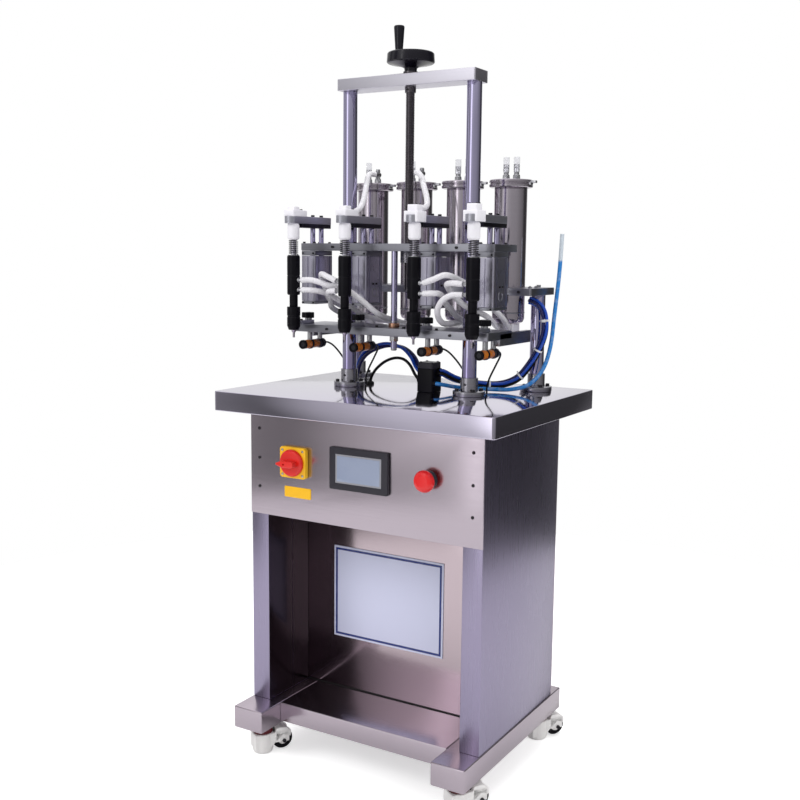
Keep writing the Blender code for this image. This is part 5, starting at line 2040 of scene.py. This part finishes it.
    def build(self) -> None:
        """Build every line."""
        self.gland_block()
        self.bundle()
        self.vent()
        self.left_lines()
        self.hoses()
        self.sensor_leads()


# --- The studio ---


@dataclass
class Studio:
    """The camera, the floor, the world and the lamps."""

    eye: Point = (1.049, -1.7826, 0.9931)
    right: Point = (0.8577, 0.5141, 0.0102)
    up: Point = (-0.0782, 0.1109, 0.9908)
    ahead: Point = (-0.5082, 0.8505, -0.1354)
    lens: float = 47.8
    floor_radius: float = 1.75
    floor_glow: float = 0.52
    panels: tuple[tuple[float, float], ...] = (
        (-180, 0.14), (-166, 0.30), (-155, 0.75), (-145, 0.35), (-134, 0.15), (-127, 0.58),
        (-116, 0.88), (-109, 0.86), (-104, 2.80), (-99, 0.90), (-86, 0.50), (-60, 0.40),
        (-20, 0.36), (30, 0.20), (45, 0.05), (75, 0.05), (95, 0.35), (112, 0.95), (152, 0.85),
        (168, 0.30), (180, 0.14),
    )  # fmt: skip
    brightest: float = 3.0
    even_light: float = 0.72
    aim: Point = (0, 0, 0.75)
    lights: tuple[tuple[str, Point, float, float], ...] = (
        ("key", (-1.6, -2.2, 2.4), 1.4, 34),
        ("fill", (2.6, -1.0, 1.8), 1.6, 16),
        ("top", (0.2, 0.3, 3.0), 1.8, 26),
    )

    def ramp(self, tree: Tree, share: Socket) -> Socket:
        """Return how bright the studio is at each bearing.

        Args:
            tree: The tree to add to.
            share: The bearing as a share of a full turn.

        Returns:
            The brightness.
        """
        node = tree.add("ValToRGB", {0: share})
        stops = node.color_ramp.elements
        for index, (bearing, level) in enumerate(self.panels):
            place = (bearing + 180) / 360
            stop = stops[index] if index == 0 else stops.new(place)
            stop.position, stop.color = place, (level, level, level, 1)
        stops.remove(stops[len(stops) - 1])
        return node.outputs[0]

    def camera(self) -> None:
        """Set up the camera."""
        data = bpy.data.cameras.new("view")
        data.lens, data.sensor_width = self.lens, 36
        camera = bpy.data.objects.new("view", data)
        columns = zip(self.right, self.up, (-value for value in self.ahead))
        turn = Matrix([(*row,) for row in columns]).to_4x4()
        camera.matrix_world = Matrix.Translation(self.eye) @ turn
        bpy.context.collection.objects.link(camera)
        bpy.context.scene.camera = camera

    def floor(self) -> None:
        """Lay the pale floor."""
        bpy.ops.mesh.primitive_circle_add(vertices=96, radius=self.floor_radius, fill_type="NGON")
        floor = bpy.context.object
        floor.name = "floor"
        made, tree, shader, place = new_material("floor")
        level = tree.spread(tree.noise(place, 3.0, 2.0), 0, 1, (0.86, 0.88))
        tree.feed(shader["Base Color"], level)
        shader["Roughness"].default_value = 0.9
        shader["Specular IOR Level"].default_value = 0.1
        seen = tree.add("LightPath").outputs
        lit = tree.math("MAXIMUM", seen["Is Camera Ray"], seen["Is Transmission Ray"])
        shader["Emission Color"].default_value = (1, 1, 1, 1)
        tree.feed(shader["Emission Strength"], tree.math("MULTIPLY", lit, self.floor_glow))
        floor.data.materials.append(made)

    def world(self) -> None:
        """Surround the machine: white to the eye, a soft studio to the metal."""
        world = bpy.data.worlds.new("studio")
        bpy.context.scene.world = world
        world.use_nodes = True
        tree = Tree(world.node_tree)
        x, y, z = tree.add("SeparateXYZ", {0: tree.add("TexCoord").outputs["Generated"]}).outputs
        bearing = tree.math("DIVIDE", tree.math("ARCTAN2", y, x), math.tau)
        panels = self.ramp(tree, tree.math("ADD", bearing, 0.5))
        soft = tree.math("MULTIPLY", panels, tree.spread(z, -0.30, 0.25, (0.75, 1.0)))
        overhead = tree.math("MULTIPLY", tree.spread(z, 0.35, 0.75), 0.35)
        soft = tree.math("MINIMUM", tree.math("ADD", soft, overhead), self.brightest)
        rays = tree.add("LightPath").outputs
        level = tree.blend(rays["Is Glossy Ray"], self.even_light, soft)
        clear = tree.math("MAXIMUM", rays["Is Camera Ray"], rays["Is Transmission Ray"])
        backdrop = world.node_tree.nodes["Background"].inputs
        backdrop["Color"].default_value = (1, 1, 1, 1)
        tree.feed(backdrop["Strength"], tree.blend(clear, level, 1.0))

    def lamps(self) -> None:
        """Hang the soft lamps."""
        for name, place, size, power in self.lights:
            data = bpy.data.lights.new(name, "AREA")
            data.size, data.energy = size, power
            lamp = bpy.data.objects.new(name, data)
            lamp.visible_glossy = False
            turn = (Vector(self.aim) - Vector(place)).to_track_quat("-Z", "Y")
            lamp.matrix_world = Matrix.Translation(place) @ turn.to_matrix().to_4x4()
            bpy.context.collection.objects.link(lamp)

    def build(self) -> None:
        """Build the studio."""
        bpy.context.scene.view_settings.view_transform = "Standard"
        self.camera()
        self.floor()
        self.world()
        self.lamps()


def main() -> None:
    """Build the machine and its studio."""
    logging.basicConfig(level=logging.INFO, format="%(message)s")
    Studio().build()
    Cabinet().build()
    FrontControls().build()
    for name in ("front_left", "front_right", "rear_left", "rear_right"):
        Caster(f"caster_{name}").build()
    Stand().build()
    Lift().build()
    Carriage().build()
    for number in range(1, 5):
        FillingHead(number).build()
    TankRack().build()
    Plumbing().build()
    HARDWARE.clear()


if __name__ == "__main__":
    main()
